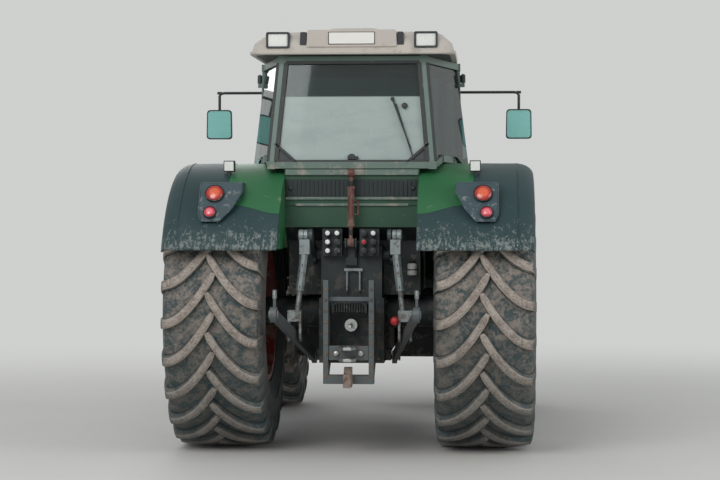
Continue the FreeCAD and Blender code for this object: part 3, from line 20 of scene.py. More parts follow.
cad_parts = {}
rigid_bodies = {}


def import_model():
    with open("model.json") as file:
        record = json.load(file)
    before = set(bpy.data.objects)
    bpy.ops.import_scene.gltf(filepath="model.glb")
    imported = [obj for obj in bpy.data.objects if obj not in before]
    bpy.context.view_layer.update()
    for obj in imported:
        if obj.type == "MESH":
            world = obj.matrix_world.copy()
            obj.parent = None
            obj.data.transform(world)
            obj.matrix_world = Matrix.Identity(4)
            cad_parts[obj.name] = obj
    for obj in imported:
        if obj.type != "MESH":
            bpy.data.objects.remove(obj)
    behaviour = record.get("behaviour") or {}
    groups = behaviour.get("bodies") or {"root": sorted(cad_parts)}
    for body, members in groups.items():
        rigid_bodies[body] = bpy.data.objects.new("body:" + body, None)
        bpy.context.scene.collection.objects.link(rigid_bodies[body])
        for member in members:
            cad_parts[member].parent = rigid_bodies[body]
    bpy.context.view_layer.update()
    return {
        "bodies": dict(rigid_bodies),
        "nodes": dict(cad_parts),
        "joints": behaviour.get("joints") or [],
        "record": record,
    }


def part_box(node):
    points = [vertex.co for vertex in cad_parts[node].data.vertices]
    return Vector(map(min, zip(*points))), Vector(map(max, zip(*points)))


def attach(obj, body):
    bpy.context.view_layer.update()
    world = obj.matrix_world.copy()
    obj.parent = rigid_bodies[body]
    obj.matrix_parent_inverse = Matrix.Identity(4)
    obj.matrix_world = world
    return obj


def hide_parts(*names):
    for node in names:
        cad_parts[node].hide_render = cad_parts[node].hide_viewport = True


Flat = tuple[float, float]
Place = tuple[float, float, float]
Colour = Place
Material, Piece, Socket = bpy.types.Material, bpy.types.Object, bpy.types.NodeSocket
Spot = Sequence[float]
SIDES = (-1, 1)
RIGHT, FORWARD, UP, BACKWARD = (1, 0, 0), (0, 1, 0), (0, 0, 1), (0, -1, 0)
TIP = .001  # radius at which a turned end closes
logger = logging.getLogger("tractor")


class Body(str, Enum):
    """The CAD bodies that single pieces ride on."""

    CHASSIS = "chassis"
    HOOD = "hood"
    TOP_LINK = "top_link"
    COUPLING = "trailer_coupling"
    WHEEL = "steering_wheel"
    ROCKSHAFT = "rockshaft"
    PTO = "pto_shaft"


class Edge(Enum):
    """How far the edges of a piece are rounded, in metres."""

    CRISP = 0.0
    FINE = .0015
    SHEET = .003
    CAST = .006
    SOFT = .012


def side_name(side: int) -> str:
    """The word for a side of the tractor, +1 being its right."""
    return "right" if side > 0 else "left"


def basis(axis: Spot) -> tuple[Vector, Vector, Vector]:
    """Three unit vectors at right angles.

    Args:
        axis: The direction of the third.

    Returns:
        Two cross directions and the axis itself.
    """
    along = Vector(axis).normalized()
    helper = Vector(RIGHT) if abs(along.x) < .9 else Vector(FORWARD)
    first = along.cross(helper).normalized()
    return first, along.cross(first), along


def turns(count: int) -> list[float]:
    """The angles of so many even steps round."""
    return [2 * pi * k / count for k in range(count)]


def circle(middle: Vector, first: Vector, second: Vector, radius: float, count: int) -> list[Vector]:
    """The points of a circle in the plane of two directions."""
    return [middle + (first * cos(turn) + second * sin(turn)) * radius for turn in turns(count)]


class Shell:
    """Collects the faces of one piece and makes its mesh."""

    def __init__(self) -> None:
        """Starts empty."""
        self.points: list[Vector] = []
        self.faces: list[tuple[int, ...]] = []
        self.finish_of: list[int] = []
        self.marks: list[float] = []

    def add(self, points: Sequence[Spot], faces: Sequence[Sequence[int]], finish: int = 0,
            marks: Sequence[float] | None = None) -> None:
        """Adds faces over their own points.

        Args:
            points: The corners.
            faces: Corner numbers of each face.
            finish: Which of the piece's finishes they take.
            marks: One value a point for the "mark" attribute.
        """
        start = len(self.points)
        self.points += [Vector(p) for p in points]
        self.faces += [tuple(start + i for i in face) for face in faces]
        self.finish_of += [finish] * len(faces)
        self.marks += list(marks) if marks else [0.0] * len(points)

    def loft(self, rings: Sequence[Sequence[Spot]], finish: int = 0, closed: bool = False,
             marks: Sequence[float] | None = None, ring_marks: Sequence[float] | None = None) -> None:
        """Joins rings of like points, and caps both ends unless the rings close on themselves.

        Args:
            rings: The rings in order.
            finish: Which finish the faces take.
            closed: True where the last ring meets the first.
            marks: One value a point of a ring.
            ring_marks: One value a ring instead.
        """
        count, total = len(rings[0]), len(rings)
        faces: list[tuple[int, ...]] = []
        for ring in range(total if closed else total - 1):
            a, b = ring * count, (ring + 1) % total * count
            for k in range(count):
                n = (k + 1) % count
                faces.append((a + k, a + n, b + n, b + k))
        if not closed:
            faces.append(tuple(range(count - 1, -1, -1)))
            faces.append(tuple(range((total - 1) * count, total * count)))
        values = list(marks) * total if marks else [0.0] * (count * total)
        if ring_marks:
            values = [value for value in ring_marks for _ in range(count)]
        self.add([p for ring in rings for p in ring], faces, finish, values)

    def prism(self, outline: Sequence[Spot], push: Spot, finish: int = 0) -> None:
        """A flat outline pushed along a vector."""
        self.loft([outline, [Vector(p) + Vector(push) for p in outline]], finish)

    def block(self, low: Spot, high: Spot, finish: int = 0) -> None:
        """A block between two corners."""
        (x0, y0, z0), (x1, y1, z1) = low, high
        self.prism([(x0, y0, z0), (x1, y0, z0), (x1, y1, z0), (x0, y1, z0)], (0, 0, z1 - z0), finish)

    def bar(self, start: Spot, end: Spot, width: float, height: float, finish: int = 0, up: Spot = UP) -> None:
        """A flat bar from one point to another.

        Args:
            start: Middle of one end.
            end: Middle of the other.
            width: Size across.
            height: Size towards up.
            finish: Which finish it takes.
            up: Roughly the direction of its height.
        """
        a, b = Vector(start), Vector(end)
        along = (b - a).normalized()
        across = along.cross(Vector(up))
        if across.length < 1e-6:
            across = along.cross(Vector(RIGHT))
        across = across.normalized() * (width / 2)
        rise = across.cross(along).normalized() * (height / 2)
        self.loft([[p - across - rise, p + across - rise, p + across + rise, p - across + rise] for p in (a, b)],
                  finish)

    def tube(self, path: Sequence[Spot], radius: float | Sequence[float], finish: int = 0, sides: int = 12,
             closed: bool = False) -> None:
        """A round bar along a path.

        Args:
            path: Points of its middle.
            radius: Its radius, or one for each point.
            finish: Which finish it takes.
            sides: Faces round it.
            closed: True where it returns to its start.
        """
        spots = [Vector(p) for p in path]
        radii = [radius] * len(spots) if isinstance(radius, (int, float)) else list(radius)
        first, second, way = basis(spots[1] - spots[0])
        rings = []
        for k, spot in enumerate(spots):
            before = spots[k - 1] if k or closed else spot
            after = spots[(k + 1) % len(spots)] if k < len(spots) - 1 or closed else spot
            new_way = (after - before).normalized() if (after - before).length > 1e-9 else way
            turn = way.rotation_difference(new_way)
            first, second, way = turn @ first, turn @ second, new_way
            rings.append(circle(spot, first, second, radii[k], sides))
        self.loft(rings, finish, closed)

    def turned(self, profile: Sequence[Flat], centre: Spot, axis: Spot, finish: int = 0,
               segments: int = 32, hollow: bool = False, marks: Sequence[float] | None = None) -> None:
        """A profile turned about an axis.

        Args:
            profile: (place along the axis, radius) in order.
            centre: A point of the axis.
            axis: Its direction.
            finish: Which finish it takes.
            segments: Faces round it.
            hollow: True where the profile is a closed ring that doesn't reach the axis.
            marks: One value for each place of the profile.
        """
        first, second, along = basis(axis)
        middle = Vector(centre)
        rings = [circle(middle + along * place, first, second, radius, segments) for place, radius in profile]
        self.loft(rings, finish, closed=hollow, ring_marks=marks)

    def drum(self, start: float, end: float, radius: float, centre: Spot, axis: Spot, finish: int = 0,
             segments: int = 32) -> None:
        """A round drum between two places of an axis."""
        self.turned([(start, TIP), (start, radius), (end, radius), (end, TIP)], centre, axis, finish, segments)

    def thread(self, places: Sequence[float], half: float, core: float, crest: float, centre: Spot, axis: Spot,
               finish: int) -> None:
        """A threaded length with a ridge at each place.

        Args:
            places: Where the ridges start, along the axis.
            half: From a ridge's start to its crest.
            core: Radius between the ridges.
            crest: Radius of the crests.
            centre: A point of the axis.
            axis: Its direction.
            finish: Which finish it takes.
        """
        profile = [(places[0], TIP)]
        for place in places:
            profile += [(place, core), (place + half, crest)]
        self.turned(profile + [(places[-1] + half, TIP)], centre, axis, finish, 16)

    def piece(self, name: str, finishes: Sequence[Material], edge: Edge = Edge.CRISP,
              smooth: float = 40.0, marked: bool = False) -> Piece:
        """Makes the piece's object, with its faces outwards.

        Args:
            name: The piece's name.
            finishes: Its materials.
            edge: How far its edges are rounded.
            smooth: Angle in degrees up to which an edge is shaded smooth.
            marked: True where the marks are kept as an attribute.

        Returns:
            The linked object.
        """
        mesh = bpy.data.meshes.new(name)
        mesh.from_pydata([tuple(p) for p in self.points], [], self.faces)
        for finish in finishes:
            mesh.materials.append(finish)
        mesh.polygons.foreach_set("material_index", self.finish_of)
        if marked:
            mesh.attributes.new("mark", "FLOAT", "POINT").data.foreach_set("value", self.marks)
        face_outwards(mesh)
        return linked(name, mesh, edge, smooth)


def face_outwards(mesh: bpy.types.Mesh) -> None:
    """Turns every face of closed solids outwards.

    Args:
        mesh: The mesh that is changed.
    """
    work = bmesh.new()
    work.from_mesh(mesh)
    bmesh.ops.recalc_face_normals(work, faces=work.faces)
    work.to_mesh(mesh)
    work.free()


def linked(name: str, mesh: bpy.types.Mesh, edge: Edge = Edge.CRISP, smooth: float = 40.0) -> Piece:
    """Links a mesh as an object with its shading and rounded edges.

    Args:
        name: The object's name.
        mesh: Its mesh.
        edge: How far its edges are rounded.
        smooth: Angle in degrees up to which an edge is shaded smooth.

    Returns:
        The object.
    """
    mesh.polygons.foreach_set("use_smooth", [True] * len(mesh.polygons))
    mesh.set_sharp_from_angle(angle=radians(smooth))
    made = bpy.data.objects.new(name, mesh)
    bpy.context.scene.collection.objects.link(made)
    if edge is not Edge.CRISP:
        bevel = made.modifiers.new("edges", "BEVEL")
        bevel.width = edge.value
        bevel.segments = 2
        bevel.limit_method = "ANGLE"
        bevel.angle_limit = radians(32)
        bevel.harden_normals = True
        bevel.use_clamp_overlap = True
    return made


def settled(source: Piece, name: str) -> Piece:
    """Turns an object with modifiers into a plain one.

    Args:
        source: The object, which is removed.
        name: Name of the plain piece.

    Returns:
        The plain object.
    """
    graph = bpy.context.evaluated_depsgraph_get()
    mesh = bpy.data.meshes.new_from_object(source.evaluated_get(graph), preserve_all_data_layers=True,
                                           depsgraph=graph)
    bpy.data.objects.remove(source)
    mesh.name = name
    made = bpy.data.objects.new(name, mesh)
    bpy.context.scene.collection.objects.link(made)
    return made


def mount(piece: Piece, body: str, slot: str, *stands_for: str) -> Piece:
    """Lets a piece ride on a body.

    Args:
        piece: The finished piece.
        body: The CAD body it moves with.
        slot: The record's material slot; not used.
        stands_for: CAD nodes that it replaces.

    Returns:
        The same piece.
    """
    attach(piece, body)
    if stands_for:
        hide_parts(*stands_for)
    logger.info("%s rides on %s", piece.name, body)
    return piece


class CopyTree:
    """A node tree that repeats a piece in a ring about an X axle, or in a row."""

    def __init__(self, ring: bool) -> None:
        """Builds the tree.

        Args:
            ring: True for a ring, False for a row.
        """
        tree = bpy.data.node_groups.new("ring of copies" if ring else "row of copies", "GeometryNodeTree")
        self.tree = tree
        self.sockets: dict[str, str] = {}
        kinds = {"Geometry": "NodeSocketGeometry", "Count": "NodeSocketInt", "Start": "NodeSocketVector",
                 "Step": "NodeSocketVector", "Finish": "NodeSocketMaterial"}
        for name, kind in kinds.items():
            self.sockets[name] = tree.interface.new_socket(name, in_out="INPUT", socket_type=kind).identifier
        tree.interface.new_socket("Geometry", in_out="OUTPUT", socket_type="NodeSocketGeometry")
        given = tree.nodes.new("NodeGroupInput").outputs
        points = tree.nodes.new("GeometryNodePoints")
        number = tree.nodes.new("GeometryNodeInputIndex")
        steps = tree.nodes.new("ShaderNodeVectorMath")
        steps.operation = "MULTIPLY_ADD" if not ring else "MULTIPLY"
        copies = tree.nodes.new("GeometryNodeInstanceOnPoints")
        real = tree.nodes.new("GeometryNodeRealizeInstances")
        finish = tree.nodes.new("GeometryNodeSetMaterial")
        out = tree.nodes.new("NodeGroupOutput")
        join = tree.links.new
        join(given["Count"], points.inputs["Count"])
        join(number.outputs[0], steps.inputs[0])
        join(given["Step"], steps.inputs[1])
        join(points.outputs[0], copies.inputs["Points"])
        join(given["Geometry"], copies.inputs["Instance"])
        if ring:
            join(steps.outputs[0], copies.inputs["Rotation"])
            join(given["Start"], points.inputs["Position"])
        else:
            join(given["Start"], steps.inputs[2])
            join(steps.outputs[0], points.inputs["Position"])
        join(copies.outputs[0], real.inputs[0])
        join(real.outputs[0], finish.inputs["Geometry"])
        join(given["Finish"], finish.inputs["Material"])
        join(finish.outputs[0], out.inputs[0])

    def copies(self, shell: Shell, name: str, count: int, start: Spot, step: Spot, finish: Material,
               smooth: float = 40.0, marked: bool = False) -> Piece:
        """Repeats a shape and makes the result a plain piece.

        Args:
            shell: The shape, about the origin.
            name: Name of the result.
            count: How many copies.
            start: Place of the first copy, or the ring's centre.
            step: Offset, or turn about each axis in radians, from one copy to the next.
            finish: The material of all copies.
            smooth: Angle in degrees up to which an edge is shaded smooth.
            marked: True where the marks are kept.

        Returns:
            The plain object.
        """
        source = shell.piece(name + "_one", [finish], smooth=smooth, marked=marked)
        repeat = source.modifiers.new("repeat", "NODES")
        repeat.node_group = self.tree
        for key, value in (("Count", count), ("Start", tuple(start)), ("Step", tuple(step)), ("Finish", finish)):
            repeat[self.sockets[key]] = value
        return settled(source, name)


def joined_pieces(name: str, parts: Sequence[Piece]) -> Piece:
    """Joins plain pieces of one body into one.

    Args:
        name: Name of the result.
        parts: The pieces, whose modifiers are applied first.

    Returns:
        The joined object.
    """
    plain = [settled(part, f"{name}_{number}") for number, part in enumerate(parts)]
    with bpy.context.temp_override(active_object=plain[0], object=plain[0], selected_objects=plain,
                                   selected_editable_objects=plain):
        bpy.ops.object.join()
    plain[0].name = plain[0].data.name = name
    return plain[0]


class Recipe:
    """Short words for the nodes of one material."""

    def __init__(self, name: str) -> None:
        """Starts a material with one shader.

        Args:
            name: The material's name.
        """
        self.material = bpy.data.materials.new(name)
        self.material.use_nodes = True
        self.tree = self.material.node_tree
        self.tree.nodes.clear()
        self.output = self.node("OutputMaterial")
        self.shader = self.node("BsdfPrincipled")
        self.tree.links.new(self.shader.outputs[0], self.output.inputs[0])
        self.place = self.node("TexCoord").outputs["Object"]

    def put(self, socket: Socket, value: object) -> None:
        """Links another socket, or sets a plain value.

        Args:
            socket: The input.
            value: The socket, number, vector or colour that it takes.
        """
        if isinstance(value, Socket):
            self.tree.links.new(value, socket)
        elif isinstance(value, tuple) and len(value) == 3 and len(socket.default_value) == 4:
            socket.default_value = (*value, 1.0)
        else:
            socket.default_value = value

    def set(self, **values: object) -> None:
        """Sets or links inputs of the shader, with spaces written as underscores."""
        for name, value in values.items():
            self.put(self.shader.inputs[name.replace("_", " ")], value)

    def node(self, kind: str, given: dict[int | str, object] | None = None, **options: object) -> bpy.types.Node:
        """Adds a node.

        Args:
            kind: Its type, after the word ShaderNode.
            given: What its inputs take, by number or name.
            options: Its other settings.

        Returns:
            The node.
        """
        made = self.tree.nodes.new("ShaderNode" + kind)
        for key, value in options.items():
            setattr(made, key, value)
        for key, value in (given or {}).items():
            self.put(made.inputs[key], value)
        return made

    def math(self, operation: str, first: object, second: object = 0.0) -> Socket:
        """One sum of two values."""
        return self.node("Math", {0: first, 1: second}, operation=operation).outputs[0]

    def length(self, first: object, second: object) -> Socket:
        """The length of the two sides' diagonal."""
        squares = [self.math("MULTIPLY", side, side) for side in (first, second)]
        return self.math("SQRT", self.math("ADD", *squares))

    def axes(self) -> bpy.types.bpy_prop_collection:
        """The X, Y and Z of the place."""
        return self.node("SeparateXYZ", {0: self.place}).outputs

    def stretched(self, *scale: float) -> Socket:
        """The place, scaled along each axis."""
        return self.node("Mapping", {"Vector": self.place, "Scale": scale}).outputs[0]

    def noise(self, scale: float, detail: float = 4.0, roughness: float = .6,
              place: Socket | None = None, distortion: float = 0.0) -> Socket:
        """Fractal noise between 0 and 1."""
        given = {"Vector": place or self.place, "Scale": scale, "Detail": detail, "Roughness": roughness}
        return self.node("TexNoise", {**given, "Distortion": distortion}).outputs[0]

    def cells(self, scale: float) -> Socket:
        """Distance to the nearest of scattered points."""
        return self.node("TexVoronoi", {"Vector": self.place, "Scale": scale}).outputs["Distance"]

    def spread(self, value: object, low: object, high: object, start: float = 0.0, end: float = 1.0) -> Socket:
        """A value eased from one range into another."""
        given = dict(enumerate((value, low, high, start, end)))
        return self.node("MapRange", given, interpolation_type="SMOOTHSTEP").outputs[0]

    def blend(self, share: object, first: object, second: object) -> Socket:
        """One colour turning into another."""
        return self.node("Mix", {0: share, 6: first, 7: second}, data_type="RGBA").outputs[2]

    def bump(self, height: object, strength: float, distance: float) -> None:
        """Roughens the shader's surface."""
        node = self.node("Bump", {"Strength": strength, "Distance": distance, "Height": height})
        self.tree.links.new(node.outputs[0], self.shader.inputs["Normal"])

    def mark(self) -> Socket:
        """The piece's own "mark" attribute."""
        return self.node("Attribute", attribute_name="mark").outputs["Fac"]

    def cover(self, share: object, film: bpy.types.Node) -> None:
        """Lays a second shader over the first by a share."""
        mix = self.node("MixShader", {0: share, 1: self.shader.outputs[0], 2: film.outputs[0]})
        self.tree.links.new(mix.outputs[0], self.output.inputs[0])


@dataclass(frozen=True)
class Surface:
    """A painted, moulded or bare surface with its dust, specks, streaks and wear."""

    name: str
    colour: Colour
    shade: Colour
    dust_colour: Colour = (.36, .32, .27)
    dust: float = .3
    dust_scale: float = 7.0
    clean_above: float = 2.4
    dirty_below: float = .4
    specks: float = 0.0
    streaks: float = 0.0
    roughness: float = .45
    metallic: float = 0.0
    coat: float = 0.0
    grain: float = 90.0
    relief: float = .12
    gloss: float = .5

    def build(self) -> Material:
        """Makes the material from these values.

        Returns:
            The material.
        """
        r = Recipe(self.name)
        base = r.blend(r.noise(4.0, 5.0), self.colour, self.shade)
        low = r.spread(r.axes()["Z"], self.clean_above, self.dirty_below)
        amount = r.math("MULTIPLY", r.math("ADD", low, .35), self.dust)
        patchy = r.noise(self.dust_scale, 8.0, .68, distortion=.3)
        edge = r.math("SUBTRACT", .66, r.math("MULTIPLY", amount, .42))
        mask = r.spread(patchy, edge, r.math("ADD", edge, .17), 0.0, .85)
        colour = r.blend(mask, base, self.dust_colour)
        if self.streaks:
            run = r.noise(1.0, 5.0, .7, r.stretched(55.0, 55.0, 2.2))
            edge = r.math("SUBTRACT", .66, r.math("MULTIPLY", low, .16 * self.streaks))
            faint = r.spread(run, edge, r.math("ADD", edge, .12), 0.0, .6)
            colour = r.blend(faint, colour, self.dust_colour)
        if self.specks:
            edge = r.math("SUBTRACT", .74, r.math("MULTIPLY", low, .21 * self.specks))
            dots = r.spread(r.noise(46.0, 3.0, .75), edge, r.math("ADD", edge, .05), 0.0, .9)
            paler = tuple(min(1.0, 1.35 * c) for c in self.dust_colour)
            colour = r.blend(dots, colour, paler)
        rough = r.math("ADD", self.roughness, r.math("MULTIPLY", mask, .85 - self.roughness))
        r.set(Base_Color=colour, Roughness=rough, Metallic=self.metallic, Specular_IOR_Level=self.gloss,
              Coat_Weight=self.coat, Coat_Roughness=.18)
        relief = r.math("ADD", r.noise(self.grain, 3.0), r.math("MULTIPLY", mask, .8))
        r.bump(relief, self.relief, .004)
        return r.material


@dataclass(frozen=True)
class MuddyRubber:
    """Tyre rubber: mud between the lugs, pale worn lug tops, a painted highlight along the lug edges, a painted
    shadow line at each lug's foot and painted shade towards the bottom.
    """

    name: str
    axle: Colour
    base_radius: float
    tip_radius: float
    shoulder: float
    rubber: Colour = (.034, .06, .064)
    mud: Colour = (.225, .178, .148)
    pale: Colour = (.43, .375, .325)

    def build(self) -> Material:
        """Makes the material from these values.

        Returns:
            The material.
        """
        r = Recipe(self.name)
        axes = r.axes()
        out = r.math("SUBTRACT", axes["Y"], self.axle[1])
        up = r.math("SUBTRACT", axes["Z"], self.axle[2])
        radius = r.length(out, up)
        across = r.math("ABSOLUTE", r.math("SUBTRACT", r.math("ABSOLUTE", axes["X"]), self.axle[0]))
        on_lug = r.spread(radius, self.base_radius + .022, self.tip_radius - .012)
        tread = r.spread(radius, self.base_radius - .14, self.base_radius - .04)
        broad = r.noise(13.0, 7.0, .72, distortion=.6)
        fine = r.noise(48.0, 6.0, .75)
        caked = r.spread(r.math("ADD", broad, r.math("MULTIPLY", fine, .6)), .68, .94)
        # Painted shade: the mud and the pale mud are darker below the axle.
        high = r.spread(up, -.5, .6)
        mud = r.blend(r.noise(22.0, 6.0), r.blend(high, tuple(.62 * c for c in self.mud), self.mud),
                      r.blend(high, tuple(.7 * c for c in self.pale), self.pale))
        ground = r.blend(r.math("MULTIPLY", caked, r.spread(tread, 0.0, 1.0, .35, .95)), self.rubber, mud)
        crumbs = r.spread(r.noise(120.0, 2.0), .6, .66, 0.0, .8)
        ground = r.blend(crumbs, ground, r.blend(fine, self.rubber, self.pale))
        worn = r.spread(r.math("ADD", broad, r.math("MULTIPLY", r.noise(70.0, 5.0, .75), .9)), .78, 1.08)
        top = r.blend(worn, self.mud, self.pale)
        grit = r.spread(r.noise(85.0, 4.0, .7), .5, .62, 0.0, .5)
        top = r.blend(grit, top, r.blend(fine, self.rubber, self.mud))
        colour = r.blend(on_lug, ground, top)
        # Painted highlight: the lug's top edges, where the mark is high, turn paler than the pale mud.
        painted_edge_highlight = r.spread(r.mark(), .45, .95, 0.0, .95)
        colour = r.blend(painted_edge_highlight, colour, tuple(1.22 * c for c in self.pale))
        # Painted shadow: a near-black line along each lug's foot, where the mark runs below zero.
        foot = r.spread(r.mark(), -.02, -.42, 0.0, .97)
        colour = r.blend(foot, colour, (.01, .013, .014))
        side = r.spread(across, self.shoulder, self.shoulder + .03)
        dusty = r.blend(r.spread(caked, 0.0, 1.0, .26, .6), self.rubber, self.mud)
        colour = r.blend(r.math("MULTIPLY", side, r.math("SUBTRACT", 1.0, on_lug)), colour, dusty)
        # Painted shade: the whole tyre turns towards dark rubber below the axle.
        colour = r.blend(r.spread(up, .1, -1.0, 0.0, .5), colour, self.rubber)
        r.set(Base_Color=colour, Roughness=r.spread(caked, 0.0, 1.0, .62, .92))
        r.bump(r.math("ADD", r.math("MULTIPLY", broad, 1.6), r.math("ADD", fine, crumbs)), .55, .012)
        return r.material


@dataclass(frozen=True)
class Glass:
    """A tinted pane, with an optional painted reflection up to a height: a pale, cloudy sheet laid over the glass."""

    name: str
    tint: Colour
    haze: float = 0.0
    painted_reflection_top: float = 0.0
    painted_reflection_colour: Colour = (.42, .5, .47)
    roughness: float = .03
    ior: float = 1.38

    def build(self) -> Material:
        """Makes the material from these values.

        Returns:
            The material.
        """
        r = Recipe(self.name)
        r.set(Base_Color=self.tint, Roughness=self.roughness, IOR=self.ior, Transmission_Weight=1.0)
        if not self.haze:
            smear = r.noise(5.0, 6.0, .7, r.stretched(3.0, 3.0, .8))
            film = r.node("BsdfPrincipled", {"Base Color": (.05, .085, .085), "Roughness": .6})
            r.cover(r.spread(smear, .45, .8, .02, .16), film)
            return r.material
        # Painted reflection: a pale, cloudy and streaked sheet covers the glass below the given top.
        cloudy = r.noise(3.0, 7.0, .6, r.stretched(1.0, 1.0, 2.6), .4)
        streak = r.noise(1.0, 5.0, .7, r.stretched(60.0, 60.0, 3.0))
        colour = r.blend(r.spread(cloudy, .35, .7), self.painted_reflection_colour, tuple(.78 * c for c in self.painted_reflection_colour))
        colour = r.blend(r.spread(streak, .55, .75, 0.0, .5), colour, (.5, .57, .54))
        film = r.node("BsdfPrincipled", {"Base Color": colour, "Roughness": .42})
        height = r.axes()["Z"]
        low = r.spread(height, self.painted_reflection_top + .006, self.painted_reflection_top - .006)
        share = r.math("MULTIPLY", low, r.spread(cloudy, .2, .8, self.haze - .08, self.haze + .05))
        r.cover(r.math("MAXIMUM", share, .05), film)
        return r.material


@dataclass(frozen=True)
class Lens:
    """A lamp lens: a moulded colour with prisms and a brighter middle set by the mark."""

    name: str
    colour: Colour
    middle: Colour
    prisms: float = 160.0
    glow: float = .05

    def build(self) -> Material:
        """Makes the material from these values.

        Returns:
            The material.
        """
        r = Recipe(self.name)
        weave = r.cells(self.prisms)
        centre = r.spread(r.mark(), .2, .9)
        colour = r.blend(centre, self.colour, self.middle)
        colour = r.blend(r.spread(weave, .1, .6, 0.0, .25), colour, tuple(.45 * c for c in self.colour))
        r.set(Base_Color=colour, Roughness=.16, Emission_Color=colour, Emission_Strength=self.glow, Coat_Weight=.6)
        r.bump(weave, .25, .003)
        return r.material


@dataclass(frozen=True)
class Cloth:
    """Woven seat fabric with a soft sheen."""

    name: str
    colour: Colour
    thread: Colour
    pitch: float = 700.0

    def build(self) -> Material:
        """Makes the material from these values.

        Returns:
            The material.
        """
        r = Recipe(self.name)
        waves = []
        for direction in ("X", "Z"):
            given = {"Vector": r.place, "Scale": self.pitch / 4, "Distortion": .6}
            waves.append(r.node("TexWave", given, bands_direction=direction).outputs["Fac"])
        weave = r.math("MULTIPLY", waves[0], waves[1])
        worn = r.noise(11.0, 6.0)
        colour = r.blend(r.spread(worn, .4, .7, .1, .45), self.colour, self.thread)
        r.set(Base_Color=r.blend(r.math("MULTIPLY", weave, .5), colour, self.thread), Roughness=.88, Sheen_Weight=.3)
        r.bump(r.math("ADD", weave, r.noise(60.0, 4.0)), .3, .002)
        return r.material


DUST = (.34, .3, .25)
SURFACES = (
    Surface("body_green", (.03, .15, .055), (.022, .115, .045), DUST, .35, 6.0, 2.1, .5, .15, .3,
            .46, coat=.04, gloss=.34),
    # A darker copy of body_green: a painted shadow for the cab's rear-facing wall.
    Surface("body_green_painted_shadow", (.018, .078, .038), (.012, .056, .03), DUST, .35, 6.0, 2.1, .5, .1, .4, .45),
    Surface("roof_cream", (.56, .51, .45), (.47, .43, .38), (.36, .33, .28), .35, 9.0, 3.4, 2.4,
            streaks=.5, roughness=.52, coat=.04),
    Surface("frame_green", (.135, .19, .16), (.085, .135, .112), DUST, .4, 8.0, 2.9, 1.2, .2, .5, .45),
    Surface("frame_dark", (.02, .03, .031), (.032, .044, .045), DUST, .45, 8.0, 2.0, .4, .2, .3, .5),
    Surface("flare_plastic", (.016, .04, .043), (.024, .054, .058), (.26, .28, .26), .24, 13.0,
            1.8, 1.36, .66, 1.5, .5, grain=240.0, relief=.2, gloss=.34),
    Surface("shield_plastic", (.03, .058, .07), (.04, .07, .082), (.34, .35, .33), .3, 16.0,
            2.1, 1.5, .5, .5, .42, grain=260.0, relief=.15),
    Surface("plastic_black", (.012, .015, .016), (.02, .024, .025), DUST, .25, 12.0, 2.6, .6,
            .1, .2, .5, grain=300.0, relief=.2),
    Surface("rim_red", (.3, .04, .028), (.21, .03, .022), (.3, .25, .2), .45, 6.0, 1.9, .1,
            .6, .2, .45),
    Surface("hub_iron", (.07, .072, .072), (.04, .042, .043), (.24, .16, .1), .7, 10.0, 1.8, .2,
            .4, 0.0, .55, .35),
    Surface("link_iron", (.085, .1, .104), (.045, .056, .06), (.17, .115, .08), .26, 16.0, 2.2, .5,
            .2, .2, .5, .45),
    Surface("rail_grey", (.12, .138, .142), (.075, .088, .092), (.17, .12, .09), .28, 16.0, 2.2, .5,
            .2, .2, .5, .4),
    Surface("link_pale", (.33, .37, .37), (.2, .235, .24), (.13, .1, .08), .45, 18.0, 2.2, .5,
            .2, .2, .45, .5),
    Surface("rusty_red", (.13, .04, .032), (.075, .028, .024), (.2, .13, .1), .5, 20.0, 2.6, 1.2,
            .2, .2, .62, .1),
    Surface("rusty_iron", (.15, .082, .052), (.085, .05, .038), (.3, .25, .21), .6, 22.0, 1.4, .2,
            .5, 0.0, .62, .4),
    Surface("bright_steel", (.6, .61, .6), (.42, .43, .42), (.2, .16, .12), .3, 24.0, 2.2, .4,
            .2, 0.0, .28, .9),
    Surface("machinery", (.022, .033, .034), (.013, .019, .02), (.11, .095, .08), .42, 9.0, 2.0, .4,
            .3, .2, .55, .15),
    Surface("exhaust_steel", (.115, .105, .098), (.06, .056, .055), (.22, .12, .07), .45, 9.0, 3.2, 1.2,
            0.0, .3, .5, .7),
    Surface("lamp_white", (.84, .84, .79), (.7, .71, .67), DUST, .12, 30.0, 3.2, 1.8, roughness=.2,
            coat=.5),
    Surface("plate_white", (.78, .76, .72), (.7, .68, .64), DUST, .2, 20.0, 3.2, 2.4, roughness=.4),
    Surface("panel_beige", (.5, .45, .4), (.43, .39, .35), (.28, .25, .21), .35, 12.0, 3.2, 2.4,
            streaks=.3, roughness=.45),
    Surface("cap_white", (.8, .8, .77), (.68, .68, .65), DUST, .2, 30.0, 2.2, .8, roughness=.35),
    Surface("cap_red", (.48, .022, .026), (.34, .018, .02), DUST, .2, 30.0, 2.2, .6, roughness=.4),
    Surface("weight_grey", (.052, .058, .06), (.036, .041, .043), DUST, .3, 8.0, 1.8, .3, .4, .3, .6),
    # Mirror glass in a pale teal, mostly diffuse: a painted reflection.
    Surface("mirror_painted_reflection", (.34, .7, .64), (.2, .52, .49), DUST, .1, 6.0, 3.0, 1.5, roughness=.08,
            metallic=.3),
)


